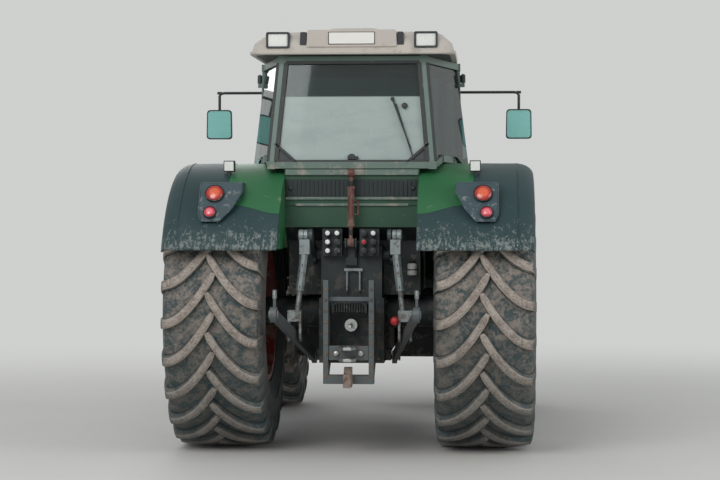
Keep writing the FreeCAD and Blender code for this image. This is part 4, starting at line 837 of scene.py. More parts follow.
class Finishes:
    """Every material of the tractor, made once and kept by name."""

    def __init__(self) -> None:
        """Builds them all."""
        self.made = {s.name: s.build() for s in SURFACES}
        others = (
            MuddyRubber("rear_rubber", (.94, -1.235, .98), .925, .98, .325),
            MuddyRubber("front_rubber", (.94, 1.485, .745), .699, .745, .275),
            Glass("glass_tinted", (.085, .18, .175), ior=1.2),
            # Tinted glass with a painted reflection over it up to 2.525 m, for the rear window.
            Glass("glass_painted_reflection", (.2, .3, .3), .8, 2.525),
            Lens("lamp_red", (.4, .02, .016), (.8, .13, .045)),
            Lens("lamp_pink", (.52, .03, .055), (.92, .2, .24), 220.0),
            Cloth("seat_fabric", (.028, .032, .036), (.07, .078, .082)),
        )
        self.made.update({finish.name: finish.build() for finish in others})

    def __getitem__(self, name: str) -> Material:
        """The material of that name."""
        return self.made[name]


@dataclass
class Assembly:
    """What every sub-assembly shares: its finishes and the copying trees."""

    finishes: Finishes
    rings: CopyTree
    rows: CopyTree

    def take(self, *names: str) -> list[Material]:
        """Materials by name."""
        return [self.finishes[name] for name in names]

    def dress(self, shell: Shell, name: str, finishes: str, slot: str, *stands_for: str, body: str = Body.CHASSIS,
              edge: Edge = Edge.CRISP, smooth: float = 40.0) -> None:
        """Makes a shell's piece, with its finishes named in one text, and lets it ride on its body."""
        mount(shell.piece(name, self.take(*finishes.split()), edge, smooth), body, slot, *stands_for)

    def skin(self, node: str, body: str, slot: str, finish: str, edge: Edge = Edge.SHEET,
             smooth: float = 35.0) -> Piece:
        """A copy of a CAD node with merged faces and rounded edges, which stands for it.

        Args:
            node: The CAD node.
            body: The body it rides on.
            slot: The record's slot.
            finish: Name of the material.
            edge: How far its edges are rounded.
            smooth: Angle up to which edges are shaded smooth.

        Returns:
            The new piece.
        """
        source = bpy.data.objects[node].data
        work = bmesh.new()
        work.from_mesh(source)
        bmesh.ops.remove_doubles(work, verts=work.verts, dist=1e-5)
        bmesh.ops.dissolve_limit(work, angle_limit=radians(1.0), verts=work.verts, edges=work.edges)
        mesh = bpy.data.meshes.new(node + "_skin")
        work.to_mesh(mesh)
        work.free()
        if mesh.attributes.get("custom_normal"):
            mesh.attributes.remove(mesh.attributes["custom_normal"])
        mesh.materials.clear()
        mesh.materials.append(self.finishes[finish])
        mesh.polygons.foreach_set("material_index", [0] * len(mesh.polygons))
        return mount(linked(node + "_skin", mesh, edge, smooth), body, slot, node)


class Axle(Enum):
    """Which axle a wheel is on."""

    REAR = "rear"
    FRONT = "front"


@dataclass(frozen=True)
class WheelSize:
    """Sizes of one axle's wheels."""

    y: float
    z: float
    radius: float
    half_width: float
    half_tread: float
    lug_height: float
    lugs: int
    bead: float
    half_rim: float
    disc: float
    hub: float
    hub_inner: float
    nuts: int
    x: float = .94


WHEELS = {
    Axle.REAR: WheelSize(-1.235, .98, .9796, .355, .325, .055, 22, .483, .292, .06, .15, .778, 10),
    Axle.FRONT: WheelSize(1.485, .745, .7446, .3, .275, .046, 18, .356, .254, .07, .115, .8, 8),
}


@dataclass
class DriveWheel(Assembly):
    """One drive wheel: casing, curved lugs with mud between them, dished rim, hub and nuts."""

    axle: Axle = Axle.REAR
    side: int = 1
    lag: float = 1.15
    curve: float = 1.8
    nose: float = -.07
    half_top: float = .02
    flank: float = .013
    mud_depth: float = .01

    def build(self) -> None:
        """Makes and dresses every piece of the wheel."""
        self.size = WHEELS[self.axle]
        self.middle = (self.side * self.size.x, self.size.y, self.size.z)
        self.body = f"{self.axle.value}_wheel_{side_name(self.side)}"
        self.stem = f"{self.axle.value}_{{}}_{side_name(self.side)}"
        self.casing()
        self.lugs()
        self.rim()

    def casing(self) -> None:
        """The casing with its ribbed walls and the mud that lies between the lugs."""
        s = self.size
        base, tread, wide, bead = s.radius - s.lug_height, s.half_tread, s.half_width, s.bead
        tall = base - bead
        half = [(0.0, base), (.3 * tread, base - .001), (.6 * tread, base - .004), (.85 * tread, base - .011),
                (.97 * tread, base - .026), (tread + .007, base - .052), (tread + .017, base - .09),
                (wide - .01, base - .34 * tall), (wide - .001, base - .46 * tall), (wide, base - .56 * tall),
                (wide - .004, base - .64 * tall), (wide - .01, base - .645 * tall),
                (wide - .012, base - .68 * tall), (wide - .007, base - .685 * tall),
                (wide - .022, base - .76 * tall), (s.half_rim + .03, base - .86 * tall),
                (s.half_rim + .022, base - .93 * tall), (s.half_rim - .002, bead + .034),
                (s.half_rim - .006, bead + .004), (s.half_rim - .06, bead)]
        profile = [(-x, r) for x, r in reversed(half[1:])] + half
        rings = []
        for angle in turns(s.lugs * 9):
            ring = []
            for x, r in profile:
                where = Vector((x * 9, r * cos(angle) * 7, r * sin(angle) * 7))
                if r > base - .03:
                    r += self.mud_depth * max(-.2, noise.fractal(where, .8, 2.1, 3))
                ring.append(Vector(self.middle) + Vector((x, -r * cos(angle), r * sin(angle))))
            rings.append(ring)
        shell = Shell()
        shell.loft(rings, closed=True)
        name = self.stem.format("tyre")
        made = shell.piece(name + "_casing", self.take(f"{self.axle.value}_rubber"), smooth=50)
        mount(made, self.body, "tyre_rubber", name)

    def lug(self, half: int) -> Shell:
        """One lug about the axle's centre, steep in the middle and flatter towards the shoulder.

        Args:
            half: -1 or 1, the half of the tread that it crosses.

        Returns:
            The lug's shell.
        """
        s = self.size
        pitch = 2 * pi / s.lugs
        steps = 15
        base = s.radius - s.lug_height
        stations = [self.nose + (1 - self.nose) * k / steps for k in range(steps + 1)]

        def behind(t: float) -> float:
            """Share of the lag at a share of the tread's half width."""
            return self.curve * t if t < 0 else 1 - max(0.0, 1 - t) ** self.curve

        rows: list[tuple[float, float, float, float, float, float]] = []
        for t in stations:
            slope = -(behind(t + .01) - behind(t - .01)) / .02
            run = slope * self.lag * pitch * s.radius / s.half_tread
            tilt = math.atan(run)
            blunt = min(1.0, (t - self.nose) * 7 + .55)
            rows.append((t * s.half_tread, behind(t), s.radius - .35 * s.lug_height * max(t, 0.0) ** 3,
                         (self.half_top + .008 * max(t, 0.0)) * blunt, tilt, base - .012 - .03 * max(t, 0) ** 6))
        for out, drop, grow in ((.012, .75, 1.15), (.021, 1.5, 1.2), (.028, 2.4, 1.15)):
            rows.append((s.half_tread + out, 1.0, s.radius - drop * s.lug_height, .028 * grow, 0.0,
                         base - .05 - drop * s.lug_height * .8))
        rings = []
        for x, share, tip, wide, tilt, root in rows:
            ring = []
            w, f = wide, self.flank
            for across, r in ((-w - f, root), (-w - .2 * f, tip - .009), (-w + .004, tip - .001), (0, tip),
                              (w - .004, tip - .001), (w + .2 * f, tip - .009), (w + f, root)):
                angle = -share * self.lag * pitch + across * cos(tilt) / s.radius
                place = half * (x - across * sin(tilt))
                ring.append((place, -r * cos(angle), r * sin(angle)))
            rings.append(ring)
        shell = Shell()
        # Marks below zero at the roots carry the painted shadow at each lug's foot; high marks at the top edges carry
        # the painted highlight.
        shell.loft(rings, marks=(-1.0, .95, .5, .1, .2, .75, -.7))
        return shell

    def lugs(self) -> None:
        """Both staggered rows of lugs, set round the tyre."""
        s = self.size
        pitch = 2 * pi / s.lugs
        parts = []
        for half in SIDES:
            shell = self.lug(half)
            turn = Matrix.Rotation(pitch / 2 if half > 0 else 0.0, 3, "X")
            shell.points = [turn @ p for p in shell.points]
            parts.append(self.rings.copies(shell, f"lugs_{half}", s.lugs, self.middle, (pitch, 0, 0),
                                           self.finishes[f"{self.axle.value}_rubber"], 50.0, True))
        made = joined_pieces(self.stem.format("tyre") + "_lugs", parts)
        mount(made, self.body, "tyre_rubber", self.stem.format("tyre"))

    def rim(self) -> None:
        """The barrel, the dished disc, the hub, the nuts and the valve."""
        s = self.size
        h, b = s.half_rim, s.bead
        axis = (self.side, 0, 0)
        shell = Shell()
        barrel = [(-h - .012, b - .017), (-h - .016, b + .017), (-h - .01, b + .028), (-h - .002, b + .026),
                  (-h, b + .001), (-h + .05, b - .003), (-h + .09, b - .028), (h - .12, b - .028),
                  (h - .05, b - .003), (h, b + .001), (h + .002, b + .026), (h + .01, b + .028),
                  (h + .016, b + .017), (h + .012, b - .017), (h - .04, b - .021), (h - .11, b - .042),
                  (-h + .1, b - .042), (-h + .04, b - .021)]
        shell.turned(barrel, self.middle, axis, 0, 72, hollow=True)
        ring, edge, d = s.hub * 1.9, b - .043, -s.disc
        disc = [(d - .018, .002), (d - .018, ring), (d + .03, ring + .04), (d + .075, edge - .01), (d + .078, edge),
                (d + .108, edge), (d + .104, edge - .02), (d + .055, ring + .055), (d + .018, ring + .018),
                (d + .004, ring + .004), (d, ring - .02), (d, .002)]
        shell.turned(disc, self.middle, axis, 0, 72)
        cap = [(d - .002, .62 * s.hub), (d + .04, .6 * s.hub), (d + .052, .55 * s.hub), (d + .056, .3 * s.hub),
               (d + .074, .27 * s.hub), (d + .078, .22 * s.hub), (d + .078, .002)]
        shell.turned(cap, self.middle, axis, 1, 40)
        inner = s.hub_inner - s.x
        hub = [(inner, .3 * s.hub), (inner, s.hub * .86), (inner + .014, s.hub * .9), (inner + .02, s.hub),
               (d - .02, s.hub), (d - .019, .3 * s.hub)]
        shell.turned(hub, self.middle, axis, 1, 40)
        if self.axle is Axle.REAR:
            shell.turned([(inner - .144, .05), (d - .02, .05)], self.middle, axis, 1, 24)
        shell.tube([(self.middle[0] + self.side * (d + .05), s.y - .55 * b, s.z + .55 * b),
                    (self.middle[0] + self.side * (d + .1), s.y - .57 * b, s.z + .57 * b)], .006, 1)
        rim = shell.piece("rim", self.take("rim_red", "hub_iron"), smooth=38)
        nut = Shell()
        circle = s.hub * 1.25
        nut.turned([(0.0, .031), (.007, .031), (.0071, .021), (.027, .021), (.03, .018), (.0301, .012),
                    (.046, .011), (.048, .002)], (self.side * d, -circle, 0), axis, 0, 6)
        nuts = self.rings.copies(nut, "nuts", s.nuts, self.middle, (2 * pi / s.nuts, 0, 0),
                                 self.finishes["hub_iron"], 25.0)
        name = self.stem.format("rim")
        mount(joined_pieces(name + "_dressed", [rim, nuts]), self.body, "rim_red", name)


@dataclass
class Fenders(Assembly):
    """Both rear fenders with their plastic flares, lamp shields, tail lamps and marker lamps."""

    axle_y: float = -1.235
    axle_z: float = .98
    radius: float = 1.077
    skin_thickness: float = .025
    inner_x: float = .475
    seam_x: float = .86
    outer_x: float = 1.285
    rear_angle: float = 27.0
    front_angle: float = 146.0
    floor_z: float = 1.452
    corner_out: float = .125
    corner_down: float = .082
    seam_low: float = 41.9
    seam_rise: float = 4.3
    seam_run: float = .3
    shield_low: Flat = (.03, 36.9)
    shield_high: Flat = (.103, 52.4)
    steps: int = 44

    def build(self) -> None:
        """Makes and dresses every piece."""
        low, high = (self.on_wheel(self.radius + out, turn) for out, turn in (self.shield_low, self.shield_high))
        self.low, self.high = low, high
        self.out = Vector((0, low[1] - high[1], high[0] - low[0])).normalized()
        arches, flares, shields = Shell(), Shell(), Shell()
        for side in SIDES:
            self.arch(arches, side)
            self.flare(flares, side)
            self.shield(shields, side)
        self.dress(arches, "fender_arches", "body_green", "body_green", "rear_fenders", edge=Edge.SHEET)
        self.dress(flares, "flare_skins", "flare_plastic", "plastic_grey", "fender_flares", edge=Edge.SHEET)
        self.dress(shields, "lamp_shields", "shield_plastic", "plastic_grey", "fender_flares", edge=Edge.CAST)
        self.lamps()
        self.markers()

    def on_wheel(self, radius: float, degrees: float) -> Flat:
        """The (y, z) place at a radius and an angle of the wheel's side view."""
        angle = radians(degrees)
        return self.axle_y - radius * cos(angle), self.axle_z + radius * sin(angle)

    def seam(self, x: float) -> float:
        """The angle of the wavy seam between the green arch and the flare below it."""
        share = min(1.0, max(0.0, (x - self.inner_x - .02) / self.seam_run))
        return self.seam_low + self.seam_rise * share * share * (3 - 2 * share)

    def swept(self, shell: Shell, profile: Sequence[Flat], side: int,
              start: Callable[[float], float], end: Callable[[float], float], steps: int) -> None:
        """A profile swept round the wheel between two angles that may vary across it.

        Args:
            shell: Takes the faces.
            profile: (x, radius) points of a closed outline.
            side: -1 or 1.
            start: Angle of one end at an x.
            end: Angle of the other end.
            steps: Number of steps.
        """
        rings = []
        for k in range(steps + 1):
            ring = []
            for x, radius in profile:
                y, z = self.on_wheel(radius, start(x) + (end(x) - start(x)) * k / steps)
                ring.append((side * x, y, z))
            rings.append(ring)
        shell.loft(rings)

    def arch(self, shell: Shell, side: int) -> None:
        """The green steel arch and the wall that stands against the cab.

        Args:
            shell: Takes the faces.
            side: -1 or 1.
        """
        r, t = self.radius, self.skin_thickness
        columns = [self.inner_x + (self.seam_x - self.inner_x) * k / 12 for k in range(13)]
        profile = [(x, r) for x in columns] + [(x, r - t) for x in reversed(columns)]
        self.swept(shell, profile, side, self.seam, lambda x: self.front_angle, self.steps)
        wall = []
        for k in range(25):
            angle = self.seam(self.inner_x) + (self.front_angle - self.seam(self.inner_x)) * k / 24
            wall.append(self.on_wheel(r - t + .003, angle))
        wall += [(wall[-1][0] - .04, self.floor_z), (wall[0][0] + .03, self.floor_z)]
        shell.prism([(side * self.inner_x, y, z) for y, z in wall], (side * t, 0, 0))

    def flare(self, shell: Shell, side: int) -> None:
        """The plastic flare: its rounded outer part and the part that runs round below the arch.

        Args:
            shell: Takes the faces.
            side: -1 or 1.
        """
        r, t, edge = self.radius, self.skin_thickness, self.outer_x
        inside = self.seam_x + .0005
        outer = [(inside, r), (inside + .09, r + .001), (inside + .2, r)]
        for k in range(9):
            angle = pi / 2 * k / 8
            outer.append((edge - self.corner_out * (1 - sin(angle)), r - self.corner_down * (1 - cos(angle))))
        inner = [(edge - .016, r - self.corner_down)]
        for k in range(8, -1, -1):
            angle = pi / 2 * k / 8
            inner.append((edge - .016 - (self.corner_out - .016) * (1 - sin(angle)),
                          r - t - (self.corner_down - t) * (1 - cos(angle))))
        inner.append((inside, r - t))
        self.swept(shell, outer + inner[1:], side, lambda x: self.rear_angle, lambda x: self.front_angle, self.steps)
        columns = [self.inner_x + (inside + .02 - self.inner_x) * k / 13 for k in range(14)]
        low = [(x, r) for x in columns] + [(x, r - t) for x in reversed(columns)]
        self.swept(shell, low, side, lambda x: self.rear_angle, lambda x: self.seam(x) - .12, 10)
        y, z = self.on_wheel(r - .01, self.rear_angle)
        lip = [(side * x, y, z - .004) for x in (self.inner_x + .002, edge - .05)]
        shell.tube(lip, .014, 0, 10)
        seam = []
        for k in range(20):
            y, z = self.on_wheel(r + .001, self.rear_angle + .4 + 62 * k / 19)
            seam.append((side * (edge - .115), y, z))
        shell.tube(seam, .0035, 0, 6)

    def shield_spot(self, x: float, share: float, out: float = 0.0) -> Vector:
        """A place on the shield's leaning face."""
        y, z = (low + (high - low) * share for low, high in zip(self.low, self.high))
        return Vector((x, y, z)) + self.out * out

    def shield(self, shell: Shell, side: int) -> None:
        """The shield-shaped housing of the tail lamps, with a shallow raised border.

        Args:
            shell: Takes the faces.
            side: -1 or 1.
        """
        outline = ((.095, 1.0), (-.198, 1.0), (-.205, .76), (-.14, .315), (-.06, 0.0), (.07, 0.0), (.095, .2))
        corners = []
        for index, (offset, share) in enumerate(outline):
            before, after = outline[index - 1], outline[(index + 1) % len(outline)]
            for weight, other in ((.16, before), (.05, before), (.05, after), (.16, after)):
                corners.append((offset + (other[0] - offset) * weight, share + (other[1] - share) * weight))
        face = [self.shield_spot(side * (.94 + offset), share) for offset, share in corners]
        back = [p + Vector((0, .2 + .1 * (p.z - self.low[1]), 0)) for p in face]
        middle = self.shield_spot(side * .885, .5)
        sunk = [p + (middle - p) * .07 - self.out * .004 for p in face]
        rim = [p + (middle - p) * .045 for p in face]
        shell.loft([back, face, rim, sunk])

    def lamps(self) -> None:
        """The big and small round lenses in their black bezels."""
        shells = {"red": Shell(), "pink": Shell()}
        for offset, share, radius, kind in ((-.013, .7, .067, "red"), (.011, .22, .047, "pink")):
            for side in SIDES:
                centre = self.shield_spot(side * (.94 + offset), share)
                shell = shells[kind]
                bezel = [(-.01, radius), (.012, radius), (.017, radius - .002), (.018, radius - .006),
                         (.014, radius - .007), (-.01, radius - .008)]
                shell.turned(bezel, centre, self.out, 1, 40, hollow=True)
                dome = [(0.0, .985), (.014, .97), (.019, .9), (.0225, .72), (.0205, .7), (.0245, .5),
                        (.0225, .48), (.0255, .25), (.026, .03)]
                shell.turned([(place, share_r * (radius - .006)) for place, share_r in dome], centre, self.out, 0,
                             40, marks=(0, 0, .1, .2, .35, .8, .95, 1.0, 1.0))
        for kind, shell in shells.items():
            made = shell.piece(f"tail_lamps_{kind}", self.take(f"lamp_{kind}", "plastic_black"), marked=True)
            mount(made, Body.CHASSIS, "lamp_red", "tail_lamps")

    def markers(self) -> None:
        """The square white lamps that stand on the flares in black brackets."""
        y, z = self.axle_y - .39 * self.radius, self.axle_z + .92 * self.radius
        shell = Shell()
        for side in SIDES:
            x = side * (self.seam_x + .011)
            shell.block((x - .039, y - .022, z + .02), (x + .039, y + .03, z + .1), 1)
            shell.block((x - .033, y - .0295, z + .027), (x + .033, y - .02, z + .093), 0)
            shell.block((x - .036, y + .028, z + .03), (x + .036, y + .036, z + .09), 1)
            shell.prism([(x + side * .003 - .011, y - .013, z - .035), (x + side * .003 + .011, y - .013, z - .035),
                         (x + side * .003 + .011, y + .015, z - .035), (x + side * .003 - .011, y + .015, z - .035)],
                        (0, 0, .06), 1)
        self.dress(shell, "marker_lamps", "lamp_white plastic_black", "lamp_clear", "work_lamps", edge=Edge.SHEET)


def rounded(corners: Sequence[Flat], radius: float, steps: int = 5) -> list[Flat]:
    """A flat outline with each of its corners rounded off.

    Args:
        corners: The outline's corners in order.
        radius: How far from a corner its rounding starts.
        steps: Points to a rounding, less one.

    Returns:
        The rounded outline.
    """
    made = []
    for index, corner in enumerate(corners):
        here = Vector(corner)
        before, after = Vector(corners[index - 1]), Vector(corners[(index + 1) % len(corners)])
        start = here + (before - here).normalized() * min(radius, (before - here).length * .48)
        end = here + (after - here).normalized() * min(radius, (after - here).length * .48)
        for k in range(steps + 1):
            t = k / steps
            spot = start * (1 - t) ** 2 + here * (2 * t * (1 - t)) + end * t * t
            made.append((spot.x, spot.y))
    return made


def rectangle(x0: float, x1: float, y0: float, y1: float) -> list[Flat]:
    """The corners of a flat rectangle."""
    return [(x0, y0), (x1, y0), (x1, y1), (x0, y1)]


def oblong(x0: float, x1: float, y0: float, y1: float, radius: float, steps: int = 5) -> list[Flat]:
    """A flat rectangle with its corners rounded off."""
    return rounded(rectangle(x0, x1, y0, y1), radius, steps)


def upright(outline: Sequence[Flat], y: float) -> list[Place]:
    """An (x, z) outline set up at one y."""
    return [(x, y, z) for x, z in outline]


@dataclass
class Roof(Assembly):
    """The cream roof with its crown, rear panel and blank plate, lip and work lamps."""

    bottom: float = 2.8178
    top: float = 2.985
    crown: float = 3.017
    back: float = -1.69
    front: float = .315
    middle: float = -.675
    half: float = .732
    taper: float = .075
    lamp_x: float = .523
    front_lamp_x: float = .433
    lamp_low: float = 2.864
    lamp_high: float = 2.978

    def build(self) -> None:
        """Makes and dresses every piece."""
        self.shell()
        self.panel()
        self.lamps()

    def ring(self, half: float, inset: float, z: float, radius: float = .13) -> list[Place]:
        """The rounded outline at one height.

        Args:
            half: Half its width.
            inset: How far its ends lie inside the roof's.
            z: The height.
            radius: How far from a corner its rounding starts.

        Returns:
            Its points.
        """
        back, front, slim = self.back + inset, self.front - inset, half - self.taper
        right = [(half, back), (half, self.middle), (slim, front)]
        corners = right + [(-x, y) for x, y in reversed(right)]
        return [(x, y, z) for x, y in rounded(corners, radius, 6)]

    def shell(self) -> None:
        """The roof's body with its crown."""
        shell = Shell()
        b = self.bottom
        rows = [(.7, .03, b, .11), (.728, .004, b + .004, .12), (.732, 0.0, b + .012, .12),
                (.732, 0.0, b + .026, .12), (.722, .01, b + .034, .12), (.704, .026, b + .086, .13),
                (.64, .066, self.top - .022, .14), (.612, .086, self.top - .006, .14), (.585, .11, self.top, .14)]
        shell.loft([self.ring(half, inset, z, radius) for half, inset, z, radius in rows])
        back, front = self.back + .13, self.front - .19
        rows = [(.2, 0.0, self.top - .01), (.19, .012, self.top + .012), (.17, .034, self.crown - .004),
                (.155, .05, self.crown)]
        shell.loft([[(x, y, z) for x, y in oblong(-half, half, back + inset, front - inset, .05)]
                    for half, inset, z in rows])
        self.dress(shell, "roof_shell", "roof_cream", "roof_cream", "roof", smooth=50)
        under = Shell()
        under.loft([self.ring(.69, .036, b - .001, .11), self.ring(.715, .015, b + .01, .11)])
        self.dress(under, "roof_seal", "plastic_black", "plastic_black", "roof")

    def panel(self) -> None:
        """The raised panel at the rear with its blank plate and the dark gaps beside it."""
        y = self.back + .0006
        shell = Shell()
        outline = rounded([(-.318, 2.872), (.318, 2.872), (.314, 2.992), (-.314, 2.992)], .012)
        shell.prism(upright(outline, y + .006), (0, .17, 0), 0)
        for side in SIDES:
            gap = rounded([(side * .322, 2.886), (side * .368, 2.886), (side * .364, 2.978), (side * .322, 2.978)],
                          .008)
            shell.prism(upright(gap, y + .016), (0, .13, 0), 1)
        frame = oblong(-.166, .166, 2.888, 2.977, .008)
        shell.prism(upright(frame, y + .0035), (0, .02, 0), 1)
        plate = oblong(-.16, .16, 2.893, 2.972, .006)
        shell.prism(upright(plate, y + .001), (0, .02, 0), 2)
        self.dress(shell, "roof_panel", "panel_beige plastic_black plate_white", "roof_cream", "roof", edge=Edge.FINE)

    def lamps(self) -> None:
        """Two work lamps behind and two in front: ribbed white lenses in black frames."""
        shell = Shell()
        low, high = self.lamp_low, self.lamp_high
        for lamp_x, face, inward in ((self.lamp_x, self.back + .004, 1), (self.front_lamp_x, self.front - .004, -1)):
            for side in SIDES:
                x = side * lamp_x
                frame = oblong(x - .083, x + .083, low, high, .014)
                hole = oblong(x - .069, x + .069, low + .013, high - .013, .01)
                front = upright(frame, face)
                shell.loft([upright(frame, face + inward * .12), front, upright(hole, face + inward * .001),
                            upright(hole, face + inward * .014)], 1)
                shell.prism(upright(hole, face + inward * .01), (0, inward * .02, 0), 0)
                for k in range(9):
                    rib = x - .06 + .015 * k
                    shell.bar((rib, face + inward * .009, low + .016), (rib, face + inward * .009, high - .016),
                              .0045, .003, 0, FORWARD)
        self.dress(shell, "roof_lamps", "lamp_white plastic_black", "lamp_clear", "work_lamps", edge=Edge.FINE)


@dataclass
class Cab(Assembly):
    """The cab: frame, glass with its seals, rear window, rear wall, doors and mirrors."""

    window_y: float = -1.665
    window_z: float = 2.0374
    window_top: float = 2.79
    half_low: float = .57
    half_high: float = .503
    lean: float = .105
    wall_y: float = -1.655
    rib_count: int = 31
    painted_shade_top: float = 1.6
    post_x: float = .59
    mirror: Place = (1.207, .2558, 2.4)
    arm_z: float = 2.655

    def build(self) -> None:
        """Makes and dresses every piece."""
        self.skin("cab_frame", Body.CHASSIS, "frame_dark", "frame_green", Edge.CAST)
        base = self.skin("cab_base", Body.CHASSIS, "body_green", "body_green")
        for finish in self.take("frame_dark", "body_green_painted_shadow"):
            base.data.materials.append(finish)
        # Painted shade: faces below the painted-shade height that don't face sideways take the dark frame finish;
        # faces facing backwards take the darker green as a painted shadow.
        for face in base.data.polygons:
            low = face.center.z < self.painted_shade_top and abs(face.normal.x) < .9
            face.material_index = 1 if low else 2 if face.normal.y < -.9 else 0
        self.rear_window()
        self.rear_wall()
        self.doors()
        self.mirrors()
        for node in ("windows", "door_glass_left", "door_glass_right"):
            glass = bpy.data.objects[node]
            glass.data.materials.clear()
            glass.data.materials.append(self.finishes["glass_tinted"])

    def spot(self, x: float, z: float, out: float = 0.0) -> Vector:
        """A place on the leaning rear window, or out from it.

        Args:
            x: Across.
            z: The height on the window.
            out: How far out from it.

        Returns:
            The place.
        """
        height = self.window_top - self.window_z
        length = math.hypot(height, self.lean)
        y = self.window_y + (z - self.window_z) * self.lean / height
        return Vector((x, y - out * height / length, z + out * self.lean / length))

    def half(self, z: float) -> float:
        """Half the distance between the rear posts' middles at a height."""
        share = (z - self.window_z) / (self.window_top - self.window_z)
        return self.half_low + (self.half_high - self.half_low) * share

    def rear_window(self) -> None:
        """Seals, corner bars with their panels, the sheet on the glass that carries the painted reflection, the
        wiper, knob and latch.
        """
        low, high = self.window_z + .026, self.window_top - .026
        outwards = self.spot(0, 0, 1) - self.spot(0, 0)
        trim, film = Shell(), Shell()
        for side in SIDES:
            for inset, width in ((.032, .032), (-.026, .022)):
                trim.bar(self.spot(side * (self.half(low) - inset), low, .012),
                         self.spot(side * (self.half(high) - inset), high, .012), width, .026, 0, outwards)
            start, end = self.spot(side * .545, 2.19, .014), self.spot(side * .383, 2.048, .014)
            trim.bar(start, end, .02, .022, 0, outwards)
            corner = [(side * .541, 2.186), (side * (self.half(low) - .03), 2.055), (side * .392, 2.055)]
            trim.prism([self.spot(x, z, .006) for x, z in corner], self.spot(0, 0, .006) - self.spot(0, 0), 1)
        for z in (low - .002, high + .002):
            trim.bar(self.spot(-self.half(z) + .03, z, .012), self.spot(self.half(z) - .03, z, .012), .022, .026, 0,
                     outwards)
        self.dress(trim, "rear_window_trim", "plastic_black weight_grey", "plastic_black", edge=Edge.SHEET)
        # A thin sheet just outside the glass carries the painted reflection.
        outline = [(-.383, low), (.383, low), (.54, 2.186), (self.half(high) - .03, high),
                   (-self.half(high) + .03, high), (-.54, 2.186)]
        film.prism([self.spot(x, z, .0045) for x, z in outline], self.spot(0, 0, .0008) - self.spot(0, 0))
        self.dress(film, "rear_window_painted_reflection", "glass_painted_reflection", "glass_tinted")
        wiper = Shell()
        pivot, tip = self.spot(.286, 2.505, .03), self.spot(.418, 2.15, .022)
        wiper.tube([self.spot(.286, 2.505, 0.0), pivot], .014)
        wiper.tube([pivot, pivot.lerp(tip, .55) + Vector((0, -.012, 0)), tip], [.007, .006, .004], sides=8)
        wiper.bar(self.spot(.31, 2.47, .016), self.spot(.437, 2.075, .014), .01, .014, 0, BACKWARD)
        wiper.turned([(0.0, .019), (.02, .021), (.026, .017), (.027, .002)], self.spot(.372, 2.456, .004), outwards)
        wiper.turned([(0.0, .031), (.012, .03), (.018, .022), (.019, .002)], self.spot(0.0, 2.086, .006), outwards)
        wiper.bar(self.spot(-.026, 2.086, .03), self.spot(.048, 2.086, .03), .022, .012, 0, BACKWARD)
        self.dress(wiper, "rear_wiper_and_latch", "plastic_black", "plastic_black", edge=Edge.FINE)

    def rear_wall(self) -> None:
        """The ledge rails and the ribbed dark vent between them."""
        y = self.wall_y
        shell = Shell()
        shell.block((-.472, y - .006, 1.812), (.472, y + .002, 1.938), 1)
        shell.block((-.47, y - .026, 1.968), (.47, y + .002, 2.009), 0)
        shell.bar((-.47, y - .012, 1.804), (.47, y - .012, 1.804), .01, .02, 0, UP)
        shell.block((-.4, y - .016, 1.75), (.4, y + .002, 1.768), 2)
        for x in (-.435, .435):
            shell.turned([(0, .016), (.012, .016), (.016, .01), (.017, TIP)], (x, y - .006, 1.875), BACKWARD, 1, 16)
        self.dress(shell, "rear_wall_rails", "frame_green machinery frame_green", "frame_dark", edge=Edge.SHEET)
        rib = Shell()
        rib.loft([[(-.004, 0, z), (-.0025, -.009, z), (.0025, -.009, z), (.004, 0, z)] for z in (0.0, .112)])
        step = .9 / (self.rib_count - 1)
        ribs = self.rows.copies(rib, "rear_vent_ribs", self.rib_count, (-.45, y - .006, 1.819), (step, 0, 0),
                                self.finishes["machinery"])
        mount(ribs, Body.CHASSIS, "frame_dark")

    def doors(self) -> None:
        """Both door frames."""
        for side in SIDES:
            door = f"door_{side_name(side)}"
            self.skin(door, door, "door_frame", "frame_dark")

    def mirrors(self) -> None:
        """Arms, rounded housings and glass painted pale as a painted reflection."""
        out, y, head = self.mirror
        z = self.arm_z
        arms, housings, glass = Shell(), Shell(), Shell()
        for side in SIDES:
            x, post = side * out, side * self.post_x
            arms.block((post - .015, .166, z - .015), (post + .015, y + .012, z + .015))
            arms.tube([(post, y, z), (x - side * .04, y, z), (x - side * .012, y, z - .005),
                       (x, y, z - .025), (x, y, head + .06)], .011, sides=14)
            arms.tube([(x - side * .02, y, z), (x + side * .018, y, z)], .011, sides=14)
            outline = rounded([(x - .104, head - .119), (x + .104, head - .119), (x + .1, head + .119),
                               (x - .1, head + .119)], .03)
            rows = [(.04, .8), (.03, .94), (.005, 1.0), (-.024, 1.0), (-.0295, .985), (-.0295, .93), (-.022, .92)]
            housings.loft([[(x + (px - x) * k, y + depth, head + (pz - head) * k) for px, pz in outline]
                           for depth, k in rows])
            glass.prism([(x + (px - x) * .915, y - .0225, head + (pz - head) * .915) for px, pz in outline],
                        (0, -.003, 0))
        self.dress(arms, "mirror_arms", "plastic_black", "plastic_black", "mirrors")
        self.dress(housings, "mirror_housings", "plastic_black", "plastic_black", "mirrors")
        self.dress(glass, "mirror_glass", "mirror_painted_reflection", "glass_tinted", "mirrors")


